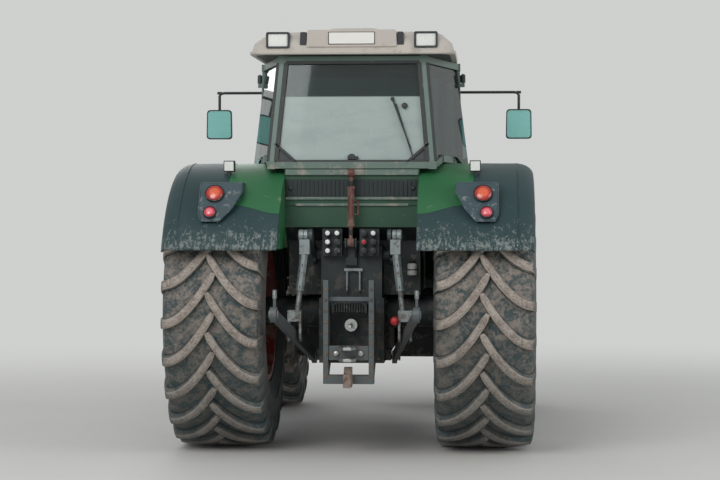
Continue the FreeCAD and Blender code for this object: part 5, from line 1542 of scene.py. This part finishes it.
@dataclass
class Interior(Assembly):
    """Seat, dashboard and steering wheel."""

    seat_y: float = -.905
    seat_z: float = 1.67
    half: float = .24
    floor: float = 1.17
    gauges: Flat = (-.14, 1.752)
    wheel: Place = (0.0, -.33, 1.8)
    rim_radius: float = .195
    voxel: float = .008
    most_swell: float = .012
    kept_swell: float = .55
    seam_at: float = .46
    seam_width: float = .03
    seam_depth: float = .009

    def build(self) -> None:
        """Makes and dresses every piece."""
        self.skin("dashboard", Body.CHASSIS, "plastic_black", "plastic_black", Edge.SOFT)
        self.controls()
        self.steering_wheel()
        self.seat_frame()
        y, z, h = self.seat_y, self.seat_z, self.half
        cushion = rounded([(y - .23, z - .108), (y + .232, z - .1), (y + .246, z - .014), (y + .2, z - .002),
                           (y - .225, z - .014)], .03, 4)
        self.pad("seat_cushion", cushion, h - .006, .55, UP)
        back = rounded([(y - .232, z - .055), (y - .222, z + .12), (y - .256, z + .552), (y - .322, z + .552),
                        (y - .326, z + .08), (y - .3, z - .055)], .03, 4)
        self.pad("seat_backrest", back, h - .024, .55, FORWARD)
        for side in SIDES:
            x = side * (h + .045)
            rest = Shell()
            rest.loft([[(x + side * px, yy, z + pz) for px, pz in oblong(-.03, .03, .176, .212, .016, 3)]
                       for yy in (y - .232, y - .1, y + .1, y + .142)])
            made = rest.piece(f"arm_rest_{side_name(side)}", self.take("plastic_black"), Edge.CAST)
            mount(stuffed(made), Body.CHASSIS, "seat_fabric", "seat")

    def pad(self, name: str, outline: Sequence[Flat], half: float, fill: float, up: Spot) -> None:
        """One crowned cushion: a closed form that swells by a cloth simulation, with two sewn channels.

        Args:
            name: The piece's name.
            outline: (y, z) of its side.
            half: Half its width.
            fill: How full it is; not used.
            up: The side that carries the sewn channels.
        """
        shell = Shell()
        stations = 13
        rings = []
        for k in range(stations):
            x = half * (2 * k / (stations - 1) - 1)
            end = abs(x / half)
            shrink = 1 - .14 * max(0.0, end - .8) / .2
            cy = sum(p[0] for p in outline) / len(outline)
            cz = sum(p[1] for p in outline) / len(outline)
            rings.append([(x, cy + (py - cy) * shrink, cz + (pz - cz) * shrink) for py, pz in outline])
        shell.loft(rings)
        made = shell.piece(name + "_start", self.take("seat_fabric"))
        remesh = made.modifiers.new("even", "REMESH")
        remesh.mode = "VOXEL"
        remesh.voxel_size = self.voxel
        made = settled(made, name)
        rest = [v.co.copy() for v in made.data.vertices]
        self.swell(made)
        way = Vector(up)
        for vertex, start in zip(made.data.vertices, rest):
            move = vertex.co - start
            if move.length > self.most_swell:
                move = move.normalized() * self.most_swell
            spot = start + move * self.kept_swell
            seam = min(abs(abs(spot.x) - half * self.seam_at), self.seam_width) / self.seam_width
            facing = max(0.0, vertex.normal.dot(way))
            spot -= way * (self.seam_depth * (1 - seam) ** 2 * facing)
            vertex.co = spot
        smooth = made.modifiers.new("even out", "SUBSURF")
        smooth.levels = smooth.render_levels = 1
        made = settled(made, name)
        made.data.polygons.foreach_set("use_smooth", [True] * len(made.data.polygons))
        mount(stuffed(made), Body.CHASSIS, "seat_fabric", "seat")

    @staticmethod
    def swell(made: Piece) -> None:
        """Fills the cushion with air by Blender's cloth and keeps the result.

        Args:
            made: The cushion.
        """
        cloth = made.modifiers.new("swell", "CLOTH")
        cloth.settings.use_pressure = True
        cloth.settings.uniform_pressure_force = 4.0
        cloth.settings.effector_weights.gravity = 0.0
        cloth.settings.quality = 5
        cloth.collision_settings.use_collision = False
        scene = bpy.context.scene
        for frame_number in range(1, 21):
            scene.frame_set(frame_number)
        graph = bpy.context.evaluated_depsgraph_get()
        blown = made.evaluated_get(graph)
        places = [v.co.copy() for v in blown.data.vertices]
        made.modifiers.clear()
        for vertex, place in zip(made.data.vertices, places):
            vertex.co = place
        scene.frame_set(1)

    def seat_frame(self) -> None:
        """Pan, back shell, bellows and arm stays."""
        y, z, h = self.seat_y, self.seat_z, self.half
        shell = Shell()
        rows = []
        for k in range(9):
            lift = self.floor + .002 + (z - .13 - self.floor) * k / 8
            half = .15 if k % 2 else .136
            rows.append([(x, py + y - .01, lift) for x, py in oblong(-half, half, -half, half, .03, 3)])
        shell.loft(rows)
        shell.block((-h + .01, y - .21, z - .136), (h - .01, y + .21, z - .106))
        spine = rounded([(y - .296, z - .06), (y - .33, z + .09), (y - .3295, z + .5), (y - .3, z + .5),
                         (y - .3, z + .09)], .01, 2)
        shell.prism([(-h + .05, py, pz) for py, pz in spine], (2 * h - .1, 0, 0))
        for side in SIDES:
            x = side * (h + .02)
            shell.bar((x, y - .2, z - .1), (x, y - .2, z + .18), .044, .034, 0, FORWARD)
            shell.bar((x - side * .03, y - .2, z - .09), (x, y - .2, z - .09), .04, .04)
        self.dress(shell, "seat_frame", "plastic_black", "plastic_black", "seat", edge=Edge.SHEET)

    def controls(self) -> None:
        """Gauge hood, round dials, column cover and levers."""
        shell = Shell()
        y, z = self.gauges
        shell.prism([(-.15, y, z), (-.15, y + .14, z - .012), (-.15, y + .1, z + .052),
                     (-.15, y + .02, z + .06)], (.3, 0, 0))
        for x in (-.085, 0.0, .085):
            shell.turned([(0, .034), (.006, .034), (.008, .03), (.008, TIP)], (x, y + .006, z + .03),
                         (0, -1, .25), 1, 24)
        for x in (-.1, .1):
            shell.tube([(x * .3, -.255, 1.7), (x, -.275, 1.722), (x * 1.5, -.285, 1.728)], [.006, .006, .009],
                       sides=8)
        self.dress(shell, "dash_controls", "plastic_black lamp_white", "plastic_black", edge=Edge.FINE)

    def steering_wheel(self) -> None:
        """A padded round rim on three spokes with a domed hub."""
        axis = Vector((0, -.5, .8660254))
        centre = Vector(self.wheel)
        up = Vector((0, .8660254, .5))
        shell = Shell()
        shell.tube(circle(centre, Vector(RIGHT), up, self.rim_radius, 48), .0148, sides=12, closed=True)
        shell.turned([(-.052, .03), (-.03, .044), (0.0, .046), (.01, .042), (.014, .026), (.014, TIP)], centre,
                     axis, 0, 32)
        for turn in (0, 120, 240):
            way = Matrix.Rotation(radians(turn), 3, axis) @ up
            start, end = centre - axis * .022 + way * .03, centre - axis * .004 + way * (self.rim_radius - .006)
            shell.bar(start, end, .03, .01, 0, axis)
        self.dress(shell, "steering_wheel_dressed", "plastic_black", "plastic_black", "steering_wheel",
                   body=Body.WHEEL, smooth=50)


def stuffed(piece: Piece) -> Piece:
    """Returns a padded piece unchanged."""
    return piece


def corners(middle: Vector, half: Spot) -> tuple[Vector, Vector]:
    """The low and high corner of a block about its middle."""
    return middle - Vector(half), middle + Vector(half)


@dataclass
class Linkage(Assembly):
    """The rear linkage: lift shaft and arms, rods, lower links, top link, ladder, coupling and shaft end."""

    lift_end: Place = (.309, -1.83, 1.546)
    rod_foot: Place = (.386, -1.8575, .84)
    link_foot: Place = (.29, -1.385, .66)
    link_hook: Place = (.482, -2.33, 1.02)
    rail_x: float = .158
    rail_back: float = -1.995
    worn_below: float = .64
    shaft: Flat = (-1.693, .912)
    coupler_columns: tuple[float, ...] = (-.16, -.094, .094, .16)
    top_link: tuple[Place, ...] = ((0.0, -1.76, 1.492), (0.0, -1.73, 1.982))
    bottle: Place = (.4185, -1.427, 1.296)
    ball: Place = (.3145, -1.905, .952)

    def build(self) -> None:
        """Makes and dresses every piece."""
        for node, slot, finish, edge in (("hitch_ladder", "link_iron", "rail_grey", Edge.SHEET),
                                         ("top_link_bracket", "link_iron", "machinery", Edge.SHEET),
                                         ("hydraulic_couplers", "bright_steel", "machinery", Edge.FINE)):
            self.skin(node, Body.CHASSIS, slot, finish, edge)
        ladder = bpy.data.objects["hitch_ladder_skin"].data
        ladder.materials.append(self.finishes["rusty_iron"])
        for face in ladder.polygons:
            face.material_index = int(face.center.z < self.worn_below and abs(face.center.x) < .08)
        self.skin("rockshaft", Body.ROCKSHAFT, "link_iron", "link_iron")
        self.skin("top_link", Body.TOP_LINK, "top_link_red", "rusty_red", Edge.FINE)
        jaw = self.skin("trailer_coupling", Body.COUPLING, "link_iron", "rail_grey")
        # Painted highlight: the middle faces at the back of the jaw take bright steel.
        jaw.data.materials.append(self.finishes["bright_steel"])
        for face in jaw.data.polygons:
            face.material_index = int(face.center.y < -2.02 and abs(face.center.x) < .062)
        for side in SIDES:
            name = side_name(side)
            self.skin(f"lower_link_{name}", f"lower_link_{name}", "link_iron", "rail_grey")
            self.rod(side)
            self.link_details(side)
        self.ladder_details()
        self.coupling_details()
        self.shaft_end()
        self.couplers()
        self.top_link_details()
        self.canister()

    def canister(self) -> None:
        """A white fluid canister in its clamp on the cab's back wall, and a red ball grip on the right rod."""
        x, y, z = self.bottle
        shell = Shell()
        shell.turned([(-.044, TIP), (-.044, .03), (-.038, .035), (.03, .035), (.04, .028), (.042, .02),
                      (.042, TIP)], (x, y, z), UP, 0, 32)
        shell.turned([(.041, TIP), (.041, .022), (.056, .022), (.058, .018), (.058, TIP)], (x, y, z), UP, 1, 24)
        shell.turned([(-.008, .0352), (-.008, .0366), (0.0, .0366), (0.0, .0352)], (x, y, z), UP, 1, 32, hollow=True)
        shell.block((x - .016, y + .03, z - .03), (x + .016, -1.3795, z + .022), 1)
        self.dress(shell, "fluid_canister", "cap_white plastic_black", "plastic_grey", edge=Edge.FINE)
        shell = Shell()
        ball = Vector(self.ball)
        shell.tube([(.372, -1.87, .96), (.345, -1.9, .955), ball], .007, 1, 10)
        shell.turned([(.031 * cos(pi * (1 - k / 12)), max(.001, .031 * sin(pi * k / 12)))
                      for k in range(13)], ball, RIGHT, 0, 24)
        self.dress(shell, "ball_grip", "cap_red link_pale", "plastic_grey", body="lift_rod_right", smooth=60)

    def rod(self, side: int) -> None:
        """One lift rod: upper eye, rod, threaded turnbuckle, pale fork.

        Args:
            side: -1 or 1.
        """
        name = f"lift_rod_{side_name(side)}"
        self.skin(name, name, "link_iron", "link_pale", Edge.FINE)
        top = Vector((side * self.lift_end[0], *self.lift_end[1:]))
        foot = Vector((side * self.rod_foot[0], *self.rod_foot[1:]))
        way = (foot - top).normalized()
        length = (foot - top).length
        shell = Shell()
        shell.thread([length * .3 + k * .0065 for k in range(18)], .0032, .0205, .0235, top, way, 1)
        for share in (.285, .5):
            shell.drum(length * share, length * share + .02, .03, top, way, 0, 6)
        shell.turned([(.014, TIP), (.014, .034), (.022, .04), (.046, .04), (.054, .034), (.054, TIP)], top,
                     (side, 0, 0), 2, 28)
        shell.block(*corners(top.lerp(foot, .115), (.036, .034, .052)), 2)
        self.dress(shell, name + "_thread", "link_iron hub_iron link_pale", "link_iron", body=name, edge=Edge.FINE,
                   smooth=30)

    def link_details(self, side: int) -> None:
        """Pins, nuts and the knob of the hook's lever on one lower link.

        Args:
            side: -1 or 1.
        """
        name = f"lower_link_{side_name(side)}"
        foot = Vector((side * self.link_foot[0], *self.link_foot[1:]))
        hook = Vector((side * self.link_hook[0], *self.link_hook[1:]))
        shell = Shell()
        way = Vector((side, 0, 0))
        shell.drum(.03, .042, .026, foot, way, 0, 6)
        for place in (.026, -.03):
            shell.drum(place, place + .004, .03, hook, way, 1, 24)
        pin = foot + (hook - foot) * .5
        shell.drum(.017, .026, .014, pin, way, 0, 6)
        lever = hook + Vector((0, .063, .105))
        shell.turned([(0, TIP), (0, .0145), (.052, .0145), (.06, .01), (.06, TIP)], lever, UP, 1, 16)
        self.dress(shell, name + "_nuts", "hub_iron link_pale", "link_iron", body=name)

    def ladder_details(self) -> None:
        """Bolt heads, the ribs of the shaft's guard and the two thin pale rods."""
        bolts = Shell()
        for side in SIDES:
            for k in range(9):
                spot = (side * self.rail_x, self.rail_back, .575 + .075 * k)
                bolts.turned([(0, .0105), (.003, .0115), (.0055, .0095), (.006, TIP)], spot, BACKWARD, 0, 6)
        self.dress(bolts, "ladder_bolts", "hub_iron", "link_iron")
        guard = Shell()
        for k in range(13):
            x = -.108 + .018 * k
            guard.bar((x, -1.8985, self.shaft[1] + .1), (x, -1.8985, self.shaft[1] + .168), .008, .007, 0, FORWARD)
        self.dress(guard, "guard_ribs", "plastic_black", "plastic_black", edge=Edge.FINE)
        rods = Shell()
        for x in (-.03, .06):
            rods.tube([(x, -1.7, 1.3), (x, -1.712, 1.285), (x, -1.712, 1.155), (x, -1.69, 1.14)], .0075)
        rods.bar((-.05, -1.7, 1.3), (.08, -1.7, 1.3), .02, .02)
        self.dress(rods, "spool_rods", "link_pale", "bright_steel", edge=Edge.FINE)

    def coupling_details(self) -> None:
        """Locking pins on the sliding trailer coupling."""
        low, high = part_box("trailer_coupling")
        shell = Shell()
        middle = (low.z + high.z) / 2
        for side in SIDES:
            shell.turned([(0, .017), (.012, .017), (.015, .013), (.0155, TIP)],
                         (side * .085, -2.0, middle), BACKWARD, 0, 18)
        self.dress(shell, "coupling_pins", "bright_steel", "link_iron", body=Body.COUPLING)

    def shaft_end(self) -> None:
        """The splined end of the power take-off with its locking groove."""
        (y, z), axis = self.shaft, Vector(BACKWARD)
        shell = Shell()
        shell.turned([(0, TIP), (0, .0475), (.04, .0475), (.052, .044), (.052, TIP)], (0, y, z), axis, 0, 36)
        rings = []
        for place, scale in ((.05, 1), (.16, 1), (.165, .84), (.172, .84), (.177, 1), (.198, 1), (.2065, .86)):
            ring = []
            for k in range(24):
                turn = 2 * pi * (k + .5) / 24
                radius = (.0172 if k % 4 < 2 else .0146) * scale
                ring.append((cos(turn) * radius, y - place, z + sin(turn) * radius))
            rings.append(ring)
        shell.loft(rings)
        self.dress(shell, "pto_splines", "bright_steel", "bright_steel", "pto_shaft", body=Body.PTO, smooth=25)

    def couplers(self) -> None:
        """Dust caps on the hydraulic couplers, some white, one red, with their loops."""
        shell = Shell()
        white = {(-.16, 0), (-.16, 1), (-.16, 2), (-.094, 2), (.16, 2)}
        red = {(.094, 1)}
        for x in self.coupler_columns:
            for row in range(3):
                finish = 0 if (x, row) in white else 1 if (x, row) in red else 2
                spot = (x, -1.79, 1.437 + .062 * row)
                shell.turned([(0, TIP), (0, .0225), (.01, .0235), (.022, .0215), (.024, .016), (.0245, TIP)],
                             spot, BACKWARD, 2, 24)
                if finish < 2:
                    shell.turned([(.023, TIP), (.023, .0165), (.029, .016), (.031, .012), (.0315, TIP)], spot,
                                 BACKWARD, finish, 24)
                x0, y0, z0 = spot
                loop = [(x0, y0 - .004, z0 - .022), (x0 + .01, y0 + .01, z0 - .032), (x0 + .004, y0 + .03, z0 - .03)]
                shell.tube(loop, .003, 2, 6)
        self.dress(shell, "coupler_caps", "cap_white cap_red plastic_black", "plastic_black")

    def top_link_details(self) -> None:
        """The top link's threaded ends, lock nuts and grip."""
        foot, tip = (Vector(end) for end in self.top_link)
        way = (tip - foot).normalized()
        length = (tip - foot).length
        shell = Shell()
        for start in (.055, .392):
            shell.thread([start + k * .006 for k in range(7)], .003, .0142, .0168, foot, way, 0)
        for share in (.23, .77):
            shell.drum(length * share, length * share + .018, .03, foot, way, 1, 6)
        handle = foot + way * length * .5
        shell.tube([handle + Vector((.022, 0, -.05)), handle + Vector((.05, -.01, -.045)),
                    handle + Vector((.052, -.01, .045)), handle + Vector((.022, 0, .05))], .006, 1, 8)
        self.dress(shell, "top_link_thread", "hub_iron rusty_red", "top_link_red", body=Body.TOP_LINK, smooth=30)


@dataclass
class Nose(Assembly):
    """Hood with its louvres, grille, headlamps, exhaust and weights."""

    weight_half: float = .262
    weights: int = 8
    vents: tuple[Flat, ...] = ((.78, 1.2), (1.26, 1.62))
    vent_foot: float = 1.285
    slat_pitch: float = .024
    slats: int = 9
    grille_slats: int = 11
    stack: Flat = (.48, .36)

    def build(self) -> None:
        """Makes and dresses every piece."""
        self.skin("hood", Body.HOOD, "body_green", "body_green", Edge.CAST)
        self.skin("headlamps", Body.HOOD, "lamp_clear", "lamp_white", Edge.FINE)
        self.skin("hood_brackets", Body.CHASSIS, "link_iron", "machinery", Edge.FINE)
        self.louvres()
        self.grille()
        self.exhaust()
        self.ballast()

    def louvres(self) -> None:
        """Two dark vent fields with slats on each side of the hood, laid on its skin."""
        mesh = bpy.data.objects["hood_skin"].data
        hood = BVHTree.FromPolygons([v.co for v in mesh.vertices], [tuple(p.vertices) for p in mesh.polygons])
        for side in SIDES:
            shell = Shell()
            for start, end in self.vents:
                stations = [start + (end - start) * k / 4 for k in range(5)]
                for k in range(self.slats):
                    z = self.vent_foot + self.slat_pitch * k
                    spots = []
                    for y in stations:
                        spot = hood.ray_cast(Vector((side, y, z)), Vector((-side, 0, 0)))[0]
                        if spot:
                            spots.append(spot)
                    for a, b in zip(spots, spots[1:]):
                        shell.bar(a, b, .009, .0125, 0, UP)
            self.dress(shell, f"hood_louvres_{side_name(side)}", "plastic_black", "plastic_black", body=Body.HOOD,
                       edge=Edge.FINE)

    def grille(self) -> None:
        """The dark grille with its level slats."""
        self.skin("grille", Body.HOOD, "plastic_black", "plastic_black", Edge.FINE)
        low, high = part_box("grille")
        slat = Shell()
        slat.loft([upright(rectangle(low.x + .01, high.x - .01, -.004, .004), high.y - .004),
                   upright(rectangle(low.x + .012, high.x - .012, -.002, .002), high.y - .0005)])
        step = (high.z - low.z - .03) / (self.grille_slats - 1)
        slats = self.rows.copies(slat, "grille_slats", self.grille_slats, (0, 0, low.z + .015), (0, 0, step),
                                 self.finishes["machinery"])
        mount(slats, Body.HOOD, "plastic_grey")

    def exhaust(self) -> None:
        """The upright silencer with its seams, clamps and slanted tail."""
        x, y = self.stack
        shell = Shell()
        axis = UP
        shell.tube([(.2255, y, 1.155), (.4, y, 1.155), (.44, y, 1.163), (.47, y, 1.19), (x, y, 1.235),
                    (x, y, 1.56)], .0415, sides=24)
        shell.turned([(1.515, .042), (1.522, .066), (1.53, .0715), (1.56, .072), (2.11, .072), (2.14, .0715),
                      (2.148, .066), (2.155, .038)], (x, y, 0), axis, 0, 40)
        shell.tube([(x, y, 2.14), (x, y, 2.6), (x, y - .004, 2.64), (x, y - .012, 2.698)], [.0375] * 3 + [.0365],
                   sides=24)
        for z in (1.47, 2.165):
            shell.turned([(z, .038), (z, .048), (z + .022, .048), (z + .022, .038)], (x, y, 0), axis, 0, 24)
        for z in (1.62, 2.05):
            shell.turned([(z, .0715), (z + .002, .0735), (z + .014, .0735), (z + .016, .0715)], (x, y, 0), axis, 0,
                         40)
        shell.drum(2.6985, 2.7, .03, (x, y - .012, 0), axis, 1, 24)
        self.dress(shell, "exhaust_stack", "exhaust_steel plastic_black", "exhaust_steel", "exhaust")

    def ballast(self) -> None:
        """Suitcase weights with round shoulders, grips and the clamping rod."""
        shell = Shell()
        pitch = 2 * self.weight_half / self.weights
        low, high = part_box("front_weights")
        outline = rounded([(low.y + .002, low.z + .03), (low.y + .06, low.z + .002), (high.y - .004, low.z + .002),
                           (high.y - .002, high.z - .1), (high.y - .05, high.z - .004),
                           (low.y + .002, high.z - .004)], .045, 4)
        for k in range(self.weights):
            x = -self.weight_half + pitch * (k + .5)
            half = pitch / 2 - .0022
            rings = []
            for dx, inset in ((-half, .01), (-half + .006, 0.0), (half - .006, 0.0), (half, .01)):
                cy, cz = (low.y + high.y) / 2, (low.z + high.z) / 2
                rings.append([(x + dx, py + (cy - py) * inset * 2, pz + (cz - pz) * inset * 2) for py, pz in outline])
            shell.loft(rings)
        shell.tube([(low.x + .003, high.y - .06, high.z - .055), (high.x - .003, high.y - .06, high.z - .055)],
                   .016, 1, 16)
        self.dress(shell, "ballast", "weight_grey hub_iron", "frame_dark", "front_weights", edge=Edge.FINE)


BOLT_HEAD = ((0, .012), (.008, .012), (.0085, TIP))


@dataclass
class Underbody(Assembly):
    """Castings, axles, shafts, tank, tool box and steps."""

    treads: Place = (.45, .68, .91)
    flange_x: float = .2292
    box_sides: Flat = (.2315, .58)
    box_heights: Flat = (.56, 1.095)
    box_back: float = -.15

    def build(self) -> None:
        """Makes and dresses every piece."""
        for node, slot, finish, edge in (
                ("transmission_housing", "frame_dark", "machinery", Edge.CAST),
                ("rear_axle", "frame_dark", "machinery", Edge.CAST),
                ("engine_block", "frame_dark", "machinery", Edge.CAST),
                ("front_frame", "frame_dark", "machinery", Edge.CAST),
                ("front_axle", "frame_dark", "machinery", Edge.CAST),
                ("front_drive_shaft", "bright_steel", "hub_iron", Edge.FINE),
                ("steps", "frame_dark", "frame_dark", Edge.SHEET)):
            self.skin(node, Body.CHASSIS, slot, finish, edge)
        for side in SIDES:
            knuckle = f"knuckle_{side_name(side)}"
            self.skin(knuckle, knuckle, "frame_dark", "machinery")
        self.skin("tie_rod", "tie_rod", "link_iron", "link_iron", Edge.FINE)
        self.bolts()
        self.tread_plates()
        self.boxes()

    def bolts(self) -> None:
        """Rows of bolt heads along the castings' flanges."""
        shell = Shell()
        for side in SIDES:
            for k in range(7):
                y = -1.55 + .085 * k
                shell.turned(BOLT_HEAD, (side * self.flange_x, y, 1.065), (side, 0, 0), 0, 6)
            for turn in turns(10):
                spot = (side * self.flange_x, -1.235 + cos(turn) * .185, .9 + sin(turn) * .14)
                shell.turned(BOLT_HEAD, spot, (side, 0, 0), 0, 6)
        for k in range(5):
            for z in (.672, 1.07):
                shell.turned([(0, .011), (.007, .011), (.0075, TIP)], (-.19 + .095 * k, -1.6845, z), BACKWARD, 0, 6)
        self.dress(shell, "housing_bolts", "hub_iron", "bright_steel")

    def tread_plates(self) -> None:
        """Raised grips on the step treads."""
        bump = Shell()
        bump.turned([(0, .0075), (.0022, .0062), (.003, TIP)], (0, 0, 0), UP, 0, 8)
        for side in SIDES:
            parts = []
            for level, z in enumerate(self.treads):
                for row in range(4):
                    start = (side * (.655 + .045 * row), .055 + .012 * (row % 2), z + .0145)
                    parts.append(self.rows.copies(bump, f"grip_{side}_{level}_{row}", 8, start, (0, .028, 0),
                                                  self.finishes["link_pale"]))
            mount(joined_pieces(f"step_grips_{side_name(side)}", parts), Body.CHASSIS, "frame_dark")

    def boxes(self) -> None:
        """The moulded shells of the fuel tank and the tool box."""
        for side, node, end in ((-1, "fuel_tank", .56), (1, "tool_box", .36)):
            shell = Shell()
            (x0, x1), (low, high), back = self.box_sides, self.box_heights, self.box_back
            rows = [(low, .03), (low + .012, .008), (low + .03, 0.0), (high - .03, 0.0), (high - .012, .008),
                    (high, .03)]
            shell.loft([[(side * x, y, z) for x, y in
                         oblong(x0 + inset * .3, x1 - inset, back + inset, end - inset, .055)]
                        for z, inset in rows])
            self.dress(shell, node + "_shell", "plastic_black", "plastic_black", node, smooth=60)


BACKDROP = (.62, .63, .62, 1.0)


def background_rays(tree: bpy.types.NodeTree) -> Socket:
    """Finds the rays that meet the plain background, directly or by way of metal and glass.

    Args:
        tree: The nodes of the floor's material or of the world.

    Returns:
        A value of 1 for these rays and 0 for the rest.
    """
    path = tree.nodes.new("ShaderNodeLightPath")
    seen = path.outputs["Is Camera Ray"]
    for kind in ("Is Glossy Ray", "Is Transmission Ray"):
        either = tree.nodes.new("ShaderNodeMath")
        either.operation = "MAXIMUM"
        tree.links.new(seen, either.inputs[0])
        tree.links.new(path.outputs[kind], either.inputs[1])
        seen = either.outputs[0]
    return seen


@dataclass(frozen=True)
class Studio:
    """The plain floor, the soft lights and the camera behind the tractor."""

    azimuth: float = 3.9
    distance: float = 14.0
    eye: float = 1.8
    aim: float = 1.5
    lens: float = 96.0

    def build(self) -> None:
        """Sets the stage, the lamps, the world and the camera."""
        scene = bpy.context.scene
        scene.view_settings.view_transform = "Standard"
        self.floor()
        scene.world = self.world()
        self.lamp("key", (-4.0, -11.0, 7.5), 6.0, 600.0)
        self.lamp("fill", (8.5, -6.0, 5.0), 5.0, 260.0)
        self.lamp("front", (-3.0, 11.0, 6.5), 6.0, 270.0)
        angle = radians(self.azimuth)
        centre = Vector((.03, -1.235, self.aim))
        place = Vector((sin(angle) * self.distance, -1.235 - cos(angle) * self.distance, self.eye))
        data = bpy.data.cameras.new("camera")
        data.lens = self.lens
        data.sensor_width = 36.0
        data.clip_end = 200.0
        camera = bpy.data.objects.new("camera", data)
        camera.location = place
        camera.rotation_euler = (centre - place).to_track_quat("-Z", "Y").to_euler()
        scene.collection.objects.link(camera)
        scene.camera = camera

    @staticmethod
    def floor() -> None:
        """A wide pale floor."""
        r = Recipe("floor")
        r.set(Base_Color=r.blend(r.noise(.8, 4.0), (.6, .58, .55), (.66, .64, .61)), Roughness=.8)
        axes = r.axes()
        far = r.spread(r.length(axes["X"], axes["Y"]), 3.0, 9.5)
        r.cover(r.math("MULTIPLY", background_rays(r.tree), far), r.node("Emission", {"Color": BACKDROP}))
        shell = Shell()
        shell.block((-40, -40, -.03), (40, 40, -.0005))
        shell.piece("floor", [r.material])

    @staticmethod
    def world() -> bpy.types.World:
        """A soft grey surround that shows as a plain pale backdrop.

        Returns:
            The world.
        """
        world = bpy.data.worlds.new("surround")
        world.use_nodes = True
        nodes, links = world.node_tree.nodes, world.node_tree.links
        light = nodes["Background"]
        light.inputs[0].default_value = (.8, .86, .9, 1.0)
        light.inputs[1].default_value = .55
        seen = nodes.new("ShaderNodeBackground")
        seen.inputs[0].default_value = BACKDROP
        seen.inputs[1].default_value = 1.0
        mix = nodes.new("ShaderNodeMixShader")
        links.new(background_rays(world.node_tree), mix.inputs[0])
        links.new(light.outputs[0], mix.inputs[1])
        links.new(seen.outputs[0], mix.inputs[2])
        links.new(mix.outputs[0], nodes["World Output"].inputs[0])
        return world

    @staticmethod
    def lamp(name: str, place: Spot, size: float, power: float) -> None:
        """One soft square lamp aimed at the tractor.

        Args:
            name: Its name.
            place: Where it hangs.
            size: Length of its sides.
            power: Its watts.
        """
        data = bpy.data.lights.new(name, "AREA")
        data.shape = "SQUARE"
        data.size = size
        data.energy = power
        made = bpy.data.objects.new(name, data)
        made.location = place
        made.rotation_euler = (Vector((0, -.4, 1.2)) - Vector(place)).to_track_quat("-Z", "Y").to_euler()
        bpy.context.scene.collection.objects.link(made)


def main() -> None:
    """Builds the studio and dresses each sub-assembly in order."""
    logging.basicConfig(level=logging.INFO, format="%(name)s: %(message)s")
    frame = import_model()
    Studio().build()
    finishes = Finishes()
    tools = (finishes, CopyTree(ring=True), CopyTree(ring=False))
    for axle in Axle:
        for side in SIDES:
            DriveWheel(*tools, axle=axle, side=side).build()
    for assembly in ASSEMBLIES:
        assembly(*tools).build()


ASSEMBLIES = (Fenders, Roof, Cab, Interior, Linkage, Nose, Underbody)

if __name__ == "__main__":
    main()
